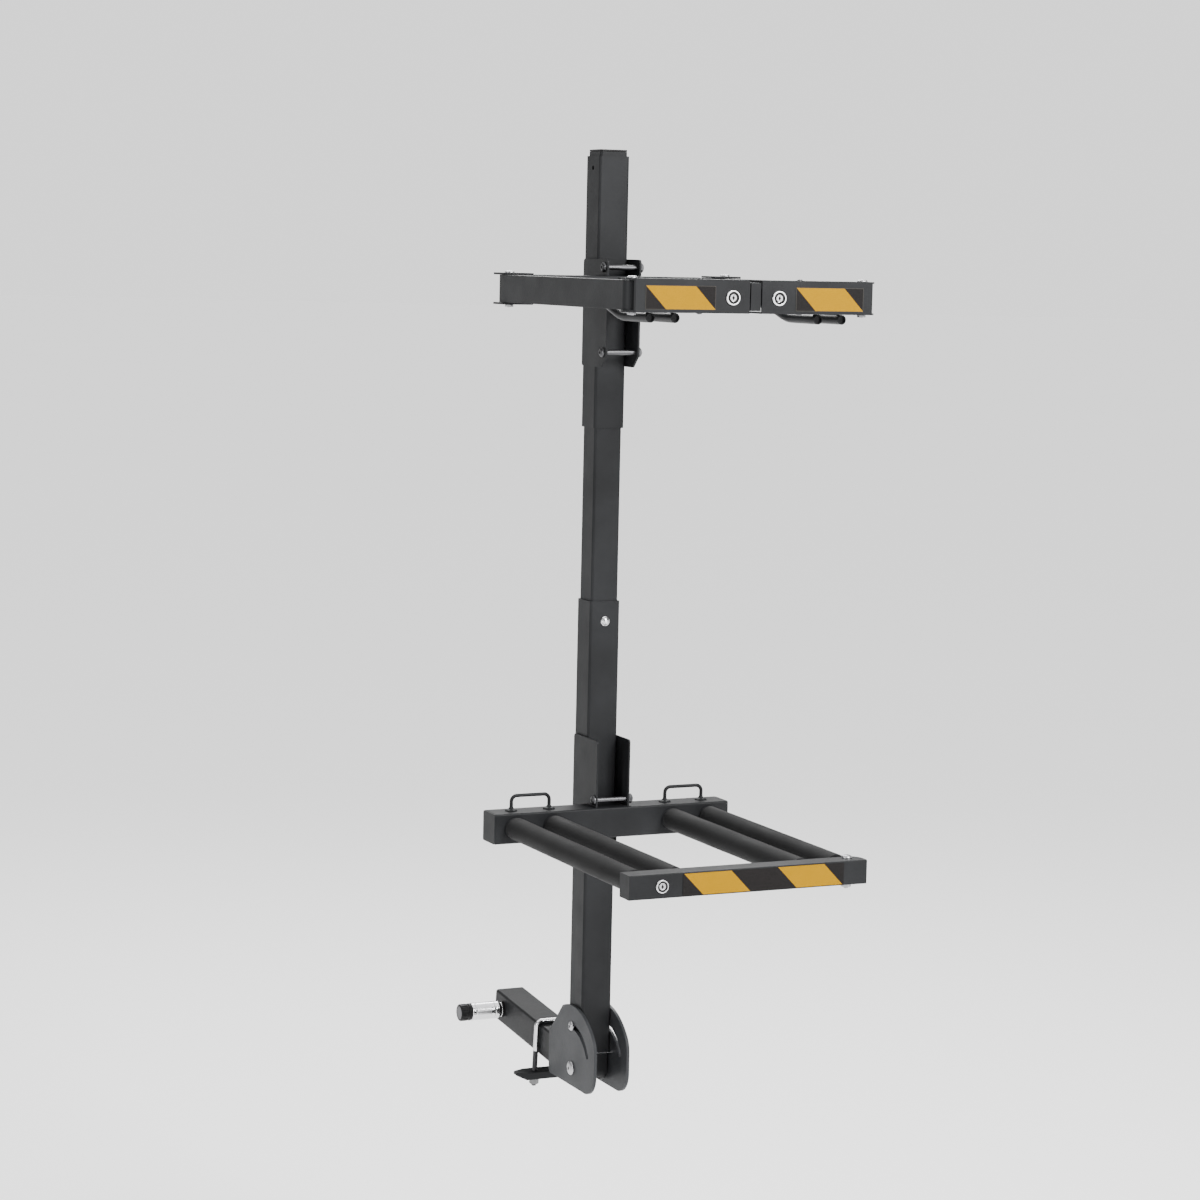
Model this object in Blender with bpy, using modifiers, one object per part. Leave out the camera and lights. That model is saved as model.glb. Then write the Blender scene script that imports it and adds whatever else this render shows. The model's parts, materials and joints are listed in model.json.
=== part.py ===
"""Hitch-mounted ski rack: shank, tilting telescopic mast, padded carrier with gate, locking holder.

Metres, +Z up, +X to the right seen from behind the vehicle, +Y towards the vehicle.
The world origin is the middle of the hitch pin, on the axis of the shank.
Pieces are laid out from the tilt pivot: the mast stands upright over it at x = 0, y = 0.
"""
import math

import bmesh
import bpy
from mathutils import Matrix, Vector

# Clearances
GAP = 0.0003
SLIDE_GAP = 0.0005
PIVOT_GAP = 0.0005

# Round pieces: number of sides
SIDES_LARGE = 20
SIDES_SMALL = 12
SIDES_WIRE = 8

# Upkeep of the shapes
MESH_WELD = 0.000005
POINT_WELD = 0.00001
SMALLEST_CORNER = 0.0005
SHARP_ANGLE = math.radians(35.0)
JOINT_MARK_SIZE = 0.03

# Fasteners
BOLT_RADIUS = 0.004
BOLT_HEAD_RADIUS = 0.0075
BOLT_HEAD_HEIGHT = 0.0045
NUT_ACROSS = 0.013
NUT_HEIGHT = 0.0065
BOLT_TIP = 0.002
HEAD_DOME = ((0.5, 0.92), (0.86, 0.55))
HINGE_HEAD_HEIGHT = 0.003
HINGE_NUT_HEIGHT = 0.0035
HINGE_NUT_ACROSS = 0.011
HINGE_TIP = 0.0005

# Hitch shank, measured along its own axis from the tilt pivot
SHANK_SIDE = 0.050
SHANK_WALL = 0.005
SHANK_CORNER = 0.004
SHANK_FRONT = 0.036
SHANK_REAR = 0.324
SHANK_PITCH = math.radians(5.0)
PIN_FROM_REAR = 0.029

# Hitch pin and the keyed lock on its left end
PIN_RADIUS = 0.0079
PIN_HEAD_RADIUS = 0.014
PIN_HEAD_LENGTH = 0.008
PIN_EDGE = 0.0015
PIN_REACH = 0.030
COLLAR_RADIUS = 0.013
COLLAR_LENGTH = 0.0087
BARREL_RADIUS = 0.0145
BARREL_LENGTH = 0.048
BARREL_EDGE = 0.001
KEY_RADIUS = 0.0062
KEY_LENGTH = 0.0112
KEYWAY_WIDTH = 0.0014
KEYWAY_HEIGHT = 0.0066
KEYWAY_DEPTH = 0.003
CAP_RADIUS = 0.0141
CAP_LENGTH = 0.0194
CAP_WALL = 0.003
CAP_EDGE = 0.002

# Anti-rattle clamp round the shank
CLAMP_ALONG = 0.141
WIRE_RADIUS = 0.00425
CLAMP_BEND = 0.008
CLAMP_LEG = 0.078
CLAMP_PLATE_TOP = -0.0523
CLAMP_PLATE_HEIGHT = 0.012
CLAMP_PLATE_END = 0.0045
CLAMP_PLATE_HALF = 0.064
CLAMP_PLATE_FULL_HALF = 0.047
CLAMP_PLATE_WIDTH = 0.024
CLAMP_PLATE_TIP_WIDTH = 0.010
CLAMP_NUT_ACROSS = 0.0135
CLAMP_NUT_HEIGHT = 0.010

# Tilt plates, outline in y and z from the pivot
PLATE_THICK = 0.005
PLATE_RADIUS = 0.100
PLATE_FRONT_ANGLE = math.radians(50.0)
PLATE_REAR_ANGLE = math.radians(-22.0)
PLATE_FRONT = -0.0858
PLATE_BROW_ROUND = 0.039
PLATE_CHIN = -0.028
PLATE_CHIN_ROUND = 0.034
PLATE_REAR = 0.088
PLATE_REAR_TOP = 0.040
PLATE_REAR_ROUND = 0.008
PLATE_RIM_STEPS = 20
PLATE_ROUND_STEPS = 8
PIVOT_RADIUS = 0.006
PIVOT_HEAD_RADIUS = 0.011
PIVOT_NUT_ACROSS = 0.019
CLAMP_BOLT_HEIGHT = 0.0675
TILT_LIMIT = math.radians(60.0)
SLOT_SPARE = math.radians(1.0)
SLOT_STEPS = 20
SLOT_END_STEPS = 8

# Mast, heights from the pivot
MAST_SIDE = 0.050
MAST_WALL = 0.002
MAST_CORNER = 0.004
MAST_BOTTOM = 0.026
MAST_STEP = 0.741
SET_SCREW_BELOW_TOP = 0.031
FOOT_TOP = 0.095
FOOT_GAP = 0.001
FOOT_WALL = 0.005
INNER_BOTTOM = 0.500
INNER_TOP = 1.4278
TOP_CAP_THICK = 0.003
TOP_CAP_PLUG = 0.012
SLEEVE_BOTTOM = 1.008
SLEEVE_TOP = 1.4213
SLEEVE_SCREW_ABOVE_BOTTOM = 0.027
SLEEVE_HOLE_RADIUS = 0.0035
SLEEVE_HOLE_BELOW_TOP = 0.018

# Lower beam and the carrier bars on it
LOWER_BEAM_PAST_GATE = 0.010
LOWER_BEAM_DEPTH = 0.0457
LOWER_BEAM_BOTTOM = 0.379
LOWER_BEAM_HEIGHT = 0.0468
BEAM_WALL = 0.002
BEAM_CORNER = 0.003
BEAM_CAP_THICK = 0.003
BEAM_CAP_SINK = 0.0005
BEAM_CAP_INSET = 0.0004
OUTER_BAR_BEFORE_GATE_END = 0.0244
INNER_BAR_X = 0.100
BAR_ABOVE_BEAM_MIDDLE = 0.0006
ROD_RADIUS = 0.0125
ROD_WALL = 0.002
ROD_IN_BEAM = 0.024
ROD_FRONT = -0.500
HINGE_ROD_FRONT = -0.492
FOAM_RADIUS = 0.0174
FOAM_FRONT = -0.497
HINGE_FOAM_FRONT = -0.4875
RING_RADIUS = 0.0165
RING_LENGTH = 0.0032

# Brackets that hold the two beams to the mast
BRACKET_THICK = 0.003
BRACKET_FRONT = -0.068
BRACKET_REAR = 0.020
BRACKET_ROUND = 0.005
BRACKET_BOLT_BACK = 0.008
LOWER_BRACKET_BOTTOM = 0.345
LOWER_BRACKET_TOP = 0.530
LOWER_BRACKET_BOLT_ABOVE = 0.011
UPPER_BRACKET_BOTTOM = 1.102
UPPER_BRACKET_TOP = 1.2657
UPPER_BRACKET_CHAMFER = 0.018
UPPER_BOLT_BELOW_TOP = 0.0125
UPPER_BOLT_ABOVE_BOTTOM = 0.023

# Carry handles on the lower beam
HANDLE_OUTER_X = 0.1614
HANDLE_INNER_X = 0.0985
HANDLE_WIRE = 0.00275
HANDLE_RISE = 0.023
HANDLE_BEND = 0.009
HANDLE_FOOT_RADIUS = 0.0095
HANDLE_FOOT_THICK = 0.003

# Gate across the carrier bars
GATE_HALF = 0.188
GATE_FRONT = -0.532
GATE_DEPTH = 0.032
GATE_BOTTOM = 0.3847
GATE_HEIGHT = 0.0349
GATE_WALL = 0.003
GATE_CORNER = 0.0015
GATE_HINGE_BEFORE_END = 0.022
GATE_HINGE_FROM_REAR = 0.011
GATE_ROUND = 0.018
GATE_ROUND_STEPS = 6
LUG_RADIUS = 0.010
GATE_LOCK_BEFORE_END = 0.0502
GATE_LOCK_ABOVE_BOTTOM = 0.0173
GATE_CAM_LENGTH = 0.0135
GATE_STRIKER_HALF_HEIGHT = 0.0105
STRIKER_THICK = 0.003
STRIKER_STEM_HALF = 0.00825
STRIKER_ENGAGE = 0.0048

# Locks
HOUSING_RADIUS = 0.0075
HOUSING_BORE = 0.0055
HOUSING_FLANGE_THICK = 0.0025
HOUSING_EDGE = 0.0008
GATE_FLANGE_RADIUS = 0.010
UPPER_FLANGE_RADIUS = 0.011
LOCK_BODY_LENGTH = 0.0105
LOCK_TAIL_RADIUS = 0.003
LOCK_TAIL_SPARE = 0.001
CAM_WIDTH = 0.009
CAM_THICK = 0.0025
CAM_TIP_ROUND = 0.002
CAM_TOP_ROUND = 0.003
KEYHOLE_WIDTH = 0.0012
KEYHOLE_HEIGHT = 0.006
KEYHOLE_DEPTH = 0.0015

# Upper holder
HOLDER_Z = 1.219
UPPER_BEAM_DEPTH = 0.046
ARM_HEIGHT = 0.0405
ARM_WIDTH = 0.030
ARM_WALL = 0.003
ARM_SOLID_END = 0.018
HOLDER_PIN_X = 0.180
BEAM_END_BEFORE_PIN = 0.020
FRONT_PIN_Y = -0.480
DRAIN_RADIUS = 0.003
HINGE_PLATE_THICK = 0.003
HINGE_PLATE_SINK = 0.0008
HINGE_PLATE_ON_BEAM = 0.011
HINGE_PLATE_PAST_PIN = 0.018
UPPER_BAR_FRONT = -0.502
UPPER_BAR_REAR = -0.464
UPPER_BAR_WALL = 0.0025
UPPER_BAR_INNER_END = 0.0095
WEB_END_PAST_PIN = 0.0045
UPPER_LUG_RADIUS = 0.0155
UPPER_LUG_CORNER = 0.004
UPPER_LUG_ROUND_SHARE = 0.98
UPPER_LOCK_X = 0.036
UPPER_LOCK_BELOW = 0.0015
UPPER_CAM_LENGTH = 0.0188
BLOCK_HALF = 0.0080
BLOCK_HALF_HEIGHT = 0.0195
BLOCK_REAR = -0.455
CENTRE_ARM_HALF = 0.0125
CENTRE_ARM_HALF_HEIGHT = 0.019
TAB_HALF = 0.030
TAB_HALF_HEIGHT = 0.012

# Divider rods of the upper holder
DIVIDERS_BEFORE_PIN = (0.068, 0.030)
DIVIDER_RADIUS = 0.007
DIVIDER_BORE = 0.0052
DIVIDER_Z = 1.2075
DIVIDER_IN_BEAM = 0.024
DIVIDER_BEND_START = -0.310
DIVIDER_BEND_END = -0.400
DIVIDER_FRONT = -0.478
DIVIDER_UNDER_BAR = 0.001
DIVIDER_BEND_STEPS = 5
DIVIDER_SIDES = 10

# Hazard tape
TAPE_THICK = 0.0004
GATE_TAPE_BEFORE_ENDS = (0.0824, 0.0381)
GATE_TAPE_HEIGHT = 0.031
UPPER_TAPE_INNER = 0.0626
TAPE_END_BEFORE_PIN = 0.010
UPPER_TAPE_HEIGHT = 0.0332
UPPER_TAPE_BELOW = 0.0024

# Colour, metallic and roughness of each finish
FINISHES = {
    "powder_black": ((0.022, 0.023, 0.025), 0.3, 0.42),
    "plate_grey": ((0.045, 0.047, 0.050), 0.4, 0.38),
    "foam_black": ((0.014, 0.014, 0.015), 0.0, 0.75),
    "plastic_black": ((0.012, 0.012, 0.013), 0.0, 0.5),
    "rubber_black": ((0.018, 0.018, 0.018), 0.0, 0.7),
    "chrome": ((0.78, 0.78, 0.79), 1.0, 0.12),
    "zinc_steel": ((0.55, 0.55, 0.56), 1.0, 0.32),
    "black_steel": ((0.05, 0.05, 0.052), 0.8, 0.35),
    "tape_yellow": ((0.86, 0.50, 0.02), 0.0, 0.4),
}

# Places worked out from the sizes above
PIN_ALONG = SHANK_REAR - PIN_FROM_REAR
PLATE_INNER_X = SHANK_SIDE / 2 + GAP
PLATE_OUTER_X = PLATE_INNER_X + PLATE_THICK
MAST_HALF = MAST_SIDE / 2
INNER_HALF = MAST_HALF - MAST_WALL - SLIDE_GAP
BEAM_BACK = -(MAST_HALF + GAP)
LOWER_BEAM_HALF = GATE_HALF + LOWER_BEAM_PAST_GATE
LOWER_BEAM_FRONT = BEAM_BACK - LOWER_BEAM_DEPTH
LOWER_BEAM_MIDDLE = BEAM_BACK - LOWER_BEAM_DEPTH / 2
LOWER_BEAM_TOP = LOWER_BEAM_BOTTOM + LOWER_BEAM_HEIGHT
LOWER_BEAM_Z = LOWER_BEAM_BOTTOM + LOWER_BEAM_HEIGHT / 2
BAR_Z = LOWER_BEAM_Z + BAR_ABOVE_BEAM_MIDDLE
OUTER_BAR_X = GATE_HALF - OUTER_BAR_BEFORE_GATE_END
BAR_X = (-OUTER_BAR_X, -INNER_BAR_X, INNER_BAR_X, OUTER_BAR_X)
UPPER_BEAM_FRONT = BEAM_BACK - UPPER_BEAM_DEPTH
UPPER_BEAM_HALF = HOLDER_PIN_X - BEAM_END_BEFORE_PIN
HINGE_PLATE_INNER = UPPER_BEAM_HALF - HINGE_PLATE_ON_BEAM
HINGE_PLATE_OUTER = HOLDER_PIN_X + HINGE_PLATE_PAST_PIN
UPPER_BAR_WEB_END = HOLDER_PIN_X + WEB_END_PAST_PIN
UPPER_TAPE_OUTER = HOLDER_PIN_X - TAPE_END_BEFORE_PIN
DIVIDER_X = [HOLDER_PIN_X - inset for inset in DIVIDERS_BEFORE_PIN]
UPPER_BEAM_HALF_HEIGHT = ARM_HEIGHT / 2 + GAP + HINGE_PLATE_SINK
REAR_PIN_Y = BEAM_BACK - UPPER_BEAM_DEPTH / 2
GATE_REAR = GATE_FRONT + GATE_DEPTH
GATE_Z = GATE_BOTTOM + GATE_HEIGHT / 2
GATE_HINGE_X = GATE_HALF - GATE_HINGE_BEFORE_END
GATE_HINGE_Y = GATE_REAR - GATE_HINGE_FROM_REAR
GATE_LOCK_X = GATE_LOCK_BEFORE_END - GATE_HALF
GATE_LOCK_Z = GATE_BOTTOM + GATE_LOCK_ABOVE_BOTTOM
GATE_TAPE_LEFT = GATE_TAPE_BEFORE_ENDS[0] - GATE_HALF
GATE_TAPE_RIGHT = GATE_HALF - GATE_TAPE_BEFORE_ENDS[1]
UPPER_BAR_HALF = ARM_HEIGHT / 2 + PIVOT_GAP + UPPER_BAR_WALL
BRACKET_X = MAST_HALF + GAP
TURNS = {"X": (math.pi / 2, 0.0, math.pi / 2), "Y": (math.pi / 2, 0.0, 0.0), "Z": (0.0, 0.0, 0.0)}


def clear_scene():
    for obj in list(bpy.data.objects):
        bpy.data.objects.remove(obj, do_unlink=True)


def new_collection(name):
    collection = bpy.data.collections.new(name)
    bpy.context.scene.collection.children.link(collection)
    return collection


clear_scene()
RACK = new_collection("hitch_ski_rack")
CUTTERS = new_collection("cutters")


def joint_axis(name, at, parent=None):
    """Empty on a joint's axis; its children are placed in lengths from the tilt pivot."""
    empty = bpy.data.objects.new(name, None)
    empty.empty_display_size = JOINT_MARK_SIZE
    RACK.objects.link(empty)
    empty.location = at
    if parent:
        attach(empty, parent)
    return empty


def attach(obj, axis):
    obj.parent = axis
    obj.matrix_parent_inverse = Matrix.Translation(-axis.location)


def finish_material(node, finish):
    colour, metallic, roughness = FINISHES[finish]
    material = bpy.data.materials.new(node + "_" + finish)
    material.use_nodes = True
    shader = material.node_tree.nodes["Principled BSDF"]
    shader.inputs["Base Color"].default_value = (*colour, 1.0)
    shader.inputs["Metallic"].default_value = metallic
    shader.inputs["Roughness"].default_value = roughness
    return material


def baked(obj):
    """Welded mesh of an object with its modifiers and its place applied; the object goes."""
    bpy.context.view_layer.update()
    graph = bpy.context.evaluated_depsgraph_get()
    mesh = bpy.data.meshes.new_from_object(obj.evaluated_get(graph))
    shape = bmesh.new()
    shape.from_mesh(mesh)
    shape.transform(obj.matrix_world)
    bmesh.ops.remove_doubles(shape, verts=shape.verts, dist=MESH_WELD)
    bmesh.ops.recalc_face_normals(shape, faces=shape.faces)
    bpy.data.meshes.remove(mesh)
    bpy.data.objects.remove(obj, do_unlink=True)
    return shape


def plate(loops, thickness, plane, middle):
    """Flat outlines, extruded across the named axis; later loops are holes."""
    curve = bpy.data.curves.new("outline", "CURVE")
    curve.dimensions = "2D"
    curve.fill_mode = "BOTH"
    curve.extrude = thickness / 2
    for loop in loops:
        spline = curve.splines.new("POLY")
        spline.points.add(len(loop) - 1)
        spline.use_cyclic_u = True
        for point, (u, v) in zip(spline.points, loop):
            point.co = (u, v, 0.0, 1.0)
    obj = bpy.data.objects.new("outline", curve)
    CUTTERS.objects.link(obj)
    obj.location = middle
    obj.rotation_euler = TURNS[plane]
    return baked(obj)


def turned(profile, foot, axis, sides=SIDES_LARGE, closed=False):
    """Profile of (radius, height), outer side top to bottom, turned about an axis through foot."""
    mesh = bpy.data.meshes.new("profile")
    shape = bmesh.new()
    corners = [shape.verts.new((radius, 0.0, height)) for radius, height in profile]
    pairs = list(zip(corners, corners[1:]))
    if closed:
        pairs.append((corners[-1], corners[0]))
    for first, second in pairs:
        shape.edges.new((first, second))
    shape.to_mesh(mesh)
    shape.free()
    obj = bpy.data.objects.new("profile", mesh)
    CUTTERS.objects.link(obj)
    screw = obj.modifiers.new("turn", "SCREW")
    screw.steps = sides
    screw.render_steps = sides
    screw.use_merge_vertices = True
    screw.merge_threshold = POINT_WELD
    obj.rotation_mode = "QUATERNION"
    obj.rotation_quaternion = Vector(axis).to_track_quat("Z", "Y")
    obj.location = foot
    return baked(obj)


def pipe(points, radius, sides=SIDES_WIRE):
    """Round bar along a path."""
    curve = bpy.data.curves.new("path", "CURVE")
    curve.dimensions = "3D"
    curve.bevel_depth = radius
    curve.bevel_resolution = sides // 2 - 2
    curve.use_fill_caps = True
    spline = curve.splines.new("POLY")
    spline.points.add(len(points) - 1)
    for point, place in zip(spline.points, points):
        point.co = (*place, 1.0)
    obj = bpy.data.objects.new("path", curve)
    CUTTERS.objects.link(obj)
    return baked(obj)


def block(low, high):
    shape = bmesh.new()
    size = [b - a for a, b in zip(low, high)]
    middle = [(a + b) / 2 for a, b in zip(low, high)]
    place = Matrix.Translation(middle) @ Matrix.Diagonal((*size, 1.0))
    bmesh.ops.create_cube(shape, size=1.0, matrix=place)
    return shape


def rod(start, end, radius, sides=SIDES_SMALL):
    shape = bmesh.new()
    along = Vector(end) - Vector(start)
    middle = (Vector(start) + Vector(end)) / 2
    turn = along.to_track_quat("Z", "Y").to_matrix().to_4x4()
    bmesh.ops.create_cone(shape, cap_ends=True, segments=sides, radius1=radius, radius2=radius,
                          depth=along.length, matrix=Matrix.Translation(middle) @ turn)
    return shape


def combined(shapes, at):
    """One mesh of several closed shapes, measured from the point at."""
    mesh = bpy.data.meshes.new("piece")
    whole = bmesh.new()
    for shape in shapes:
        part = bpy.data.meshes.new("part")
        shape.to_mesh(part)
        whole.from_mesh(part)
        shape.free()
        bpy.data.meshes.remove(part)
    whole.transform(Matrix.Translation(-Vector(at)))
    whole.to_mesh(mesh)
    whole.free()
    return mesh


def helper(name, shape, at, axis):
    """Hidden shape that a Boolean modifier cuts with or adds."""
    obj = bpy.data.objects.new(name, combined([shape], at))
    CUTTERS.objects.link(obj)
    obj.hide_render = True
    obj.display_type = "WIRE"
    obj.location = at
    attach(obj, axis)
    return obj


def piece(name, finish, axis, shapes, at, cuts=(), joins=()):
    """Named sub-part: its closed shapes, joined and cut, placed with its origin at the point at."""
    obj = bpy.data.objects.new(name, combined(shapes, at))
    RACK.objects.link(obj)
    obj.location = at
    attach(obj, axis)
    for operation, helpers in (("UNION", joins), ("DIFFERENCE", cuts)):
        for number, shape in enumerate(helpers):
            boolean = obj.modifiers.new(operation.lower() + str(number), "BOOLEAN")
            boolean.operation = operation
            boolean.solver = "EXACT"
            boolean.object = helper(name + "_" + operation.lower() + str(number), shape, at, axis)
    obj.data.materials.append(finish_material(name, finish))
    obj.data.shade_smooth()
    obj.data.set_sharp_from_angle(angle=SHARP_ANGLE)
    return obj


def rounded(corners, steps=3):
    """Outline through corners (u, v, radius), each with a radius turned into an arc."""
    outline = []
    count = len(corners)
    for index, (u, v, radius) in enumerate(corners):
        here = Vector((u, v))
        if radius <= 0.0:
            outline.append(here)
            continue
        before = (Vector(corners[index - 1][:2]) - here).normalized()
        after = (Vector(corners[(index + 1) % count][:2]) - here).normalized()
        half = before.angle(after) / 2
        centre = here + (before + after).normalized() * radius / math.sin(half)
        first = here + before * radius / math.tan(half) - centre
        sweep = first.angle_signed(here + after * radius / math.tan(half) - centre)
        for step in range(steps + 1):
            turn = -sweep * step / steps
            spoke = Vector((first.x * math.cos(turn) - first.y * math.sin(turn),
                            first.x * math.sin(turn) + first.y * math.cos(turn)))
            outline.append(centre + spoke)
    kept = []
    for point in outline:
        if not kept or (point - kept[-1]).length > POINT_WELD:
            kept.append(point)
    if (kept[0] - kept[-1]).length < POINT_WELD:
        kept.pop()
    return [(point.x, point.y) for point in kept]


def rectangle(width, height, radius, middle=(0.0, 0.0), steps=4):
    u, v = middle
    corners = [(u - width / 2, v - height / 2, radius), (u + width / 2, v - height / 2, radius),
               (u + width / 2, v + height / 2, radius), (u - width / 2, v + height / 2, radius)]
    return rounded(corners, steps)


def circle(middle, radius, sides=SIDES_SMALL):
    angles = [2 * math.pi * step / sides for step in range(sides)]
    return [(middle[0] + radius * math.cos(a), middle[1] + radius * math.sin(a)) for a in angles]


def square_tube(width, height, wall, corner, length, plane, middle):
    inner_corner = max(corner - wall, SMALLEST_CORNER)
    loops = [rectangle(width, height, corner),
             rectangle(width - 2 * wall, height - 2 * wall, inner_corner, steps=2)]
    return plate(loops, length, plane, middle)


def round_tube(radius, bore, start, end):
    """Tube along y."""
    middle = (start[0], (start[1] + end) / 2, start[2])
    loops = [circle((0.0, 0.0), radius, SIDES_LARGE), circle((0.0, 0.0), bore, SIDES_LARGE)]
    return plate(loops, abs(end - start[1]), "Y", middle)


def bolt(seat, axis, length, radius=BOLT_RADIUS, head_radius=BOLT_HEAD_RADIUS,
         head_height=BOLT_HEAD_HEIGHT):
    """Button-head bolt: the head stands on the seat, the shaft runs along the axis."""
    profile = [(0.0, head_height)]
    profile += [(head_radius * out, head_height * up) for out, up in HEAD_DOME]
    profile += [(head_radius, 0.0), (radius, 0.0), (radius, -length), (0.0, -length)]
    return turned(profile, seat, -Vector(axis), SIDES_SMALL)


def plane_of(axis):
    return "XYZ"[[abs(value) > 0.5 for value in axis].index(True)]


def nut(middle, plane, across=NUT_ACROSS, height=NUT_HEIGHT):
    return plate([circle((0.0, 0.0), across / math.sqrt(3), 6)], height, plane, middle)


def fastener(name, finish, joint, seat, axis, grip, radius=BOLT_RADIUS,
             head_radius=BOLT_HEAD_RADIUS, across=NUT_ACROSS, head_height=BOLT_HEAD_HEIGHT,
             nut_height=NUT_HEIGHT, tip=BOLT_TIP):
    """Bolt through a stack of thickness grip, with its nut turned on to the far end."""
    length = grip + nut_height + tip
    shaft = bolt(seat, axis, length, radius, head_radius, head_height)
    middle = Vector(seat) + Vector(axis) * (grip + nut_height / 2)
    screwed = nut(middle, plane_of(axis), across, nut_height)
    piece(name, finish, joint, [shaft], seat, joins=[screwed])


def hinge_pin(name, joint, seat, grip):
    """Low-headed pin of a hinge of the upper holder, head up."""
    fastener(name, "zinc_steel", joint, seat, (0, 0, -1), grip, across=HINGE_NUT_ACROSS,
             head_height=HINGE_HEAD_HEIGHT, nut_height=HINGE_NUT_HEIGHT, tip=HINGE_TIP)


def hitch_side(axis, shank_axis):
    """Pieces that stay with the vehicle."""
    side = SHANK_SIDE / 2
    length = SHANK_REAR - SHANK_FRONT
    middle = (0.0, (SHANK_REAR + SHANK_FRONT) / 2, 0.0)
    tube = square_tube(SHANK_SIDE, SHANK_SIDE, SHANK_WALL, SHANK_CORNER, length, "Y", middle)
    bore = rod((-SHANK_SIDE, PIN_ALONG, 0.0), (SHANK_SIDE, PIN_ALONG, 0.0), PIN_RADIUS + GAP,
               SIDES_LARGE)
    piece("shank_tube", "powder_black", shank_axis, [tube], middle, cuts=[bore])

    for name, sign in (("tilt_plate_left", -1), ("tilt_plate_right", 1)):
        at = (sign * (PLATE_INNER_X + PLATE_THICK / 2), 0.0, 0.0)
        loops = [tilt_plate_outline(), circle((0.0, 0.0), PIVOT_RADIUS + GAP), tilt_slot()]
        piece(name, "plate_grey", axis, [plate(loops, PLATE_THICK, "X", at)], at)
    seat = (-(PLATE_OUTER_X + GAP), 0.0, 0.0)
    grip = 2 * (PLATE_OUTER_X + GAP)
    fastener("pivot_bolt", "zinc_steel", axis, seat, (1, 0, 0), grip, PIVOT_RADIUS,
             PIVOT_HEAD_RADIUS, PIVOT_NUT_ACROSS)

    pin_and_lock(shank_axis, side)
    anti_rattle_clamp(shank_axis, side)


def arc_point(radius, angle):
    """Point of an arc about the pivot, the angle turned forward from straight up."""
    return (-radius * math.sin(angle), radius * math.cos(angle))


def tilt_plate_outline():
    """Rim about the pivot, which runs on into a straight front edge and a round lower corner."""
    span = PLATE_FRONT_ANGLE - PLATE_REAR_ANGLE
    rim = [arc_point(PLATE_RADIUS, PLATE_REAR_ANGLE + span * step / PLATE_RIM_STEPS)
           for step in range(PLATE_RIM_STEPS + 1)]
    rim_end = rim[-1]
    brow = rim_end[1] + (PLATE_FRONT - rim_end[0]) * math.tan(PLATE_FRONT_ANGLE)
    corners = [(y, z, 0.0) for y, z in rim]
    corners.append((PLATE_FRONT, brow, PLATE_BROW_ROUND))
    corners.append((PLATE_FRONT, PLATE_CHIN, PLATE_CHIN_ROUND))
    corners.append((PLATE_REAR, PLATE_CHIN, PLATE_REAR_ROUND))
    corners.append((PLATE_REAR, PLATE_REAR_TOP, PLATE_REAR_ROUND))
    return rounded(corners, PLATE_ROUND_STEPS)


def tilt_slot():
    """Curved slot in which the clamp bolt of the mast travels."""
    half = BOLT_RADIUS + PIVOT_GAP
    start = -SLOT_SPARE
    end = TILT_LIMIT + SLOT_SPARE
    angles = [start + (end - start) * step / SLOT_STEPS for step in range(SLOT_STEPS + 1)]
    outer = [arc_point(CLAMP_BOLT_HEIGHT + half, angle) for angle in angles]
    inner = [arc_point(CLAMP_BOLT_HEIGHT - half, angle) for angle in reversed(angles)]
    far = slot_end(end, half, 1)
    near = slot_end(start, half, -1)
    return outer + far + inner + near


def slot_end(angle, half, sense):
    """Half-round end of the slot, between its outer and inner side."""
    centre = Vector(arc_point(CLAMP_BOLT_HEIGHT, angle))
    outward = centre.normalized()
    forward = Vector((-outward.y, outward.x)) * sense
    points = []
    for step in range(1, SLOT_END_STEPS):
        turn = math.pi * step / SLOT_END_STEPS
        if sense > 0:
            points.append(centre + (outward * math.cos(turn) + forward * math.sin(turn)) * half)
        else:
            points.append(centre + (-outward * math.cos(turn) + forward * math.sin(turn)) * half)
    return [(point.x, point.y) for point in points]


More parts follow.
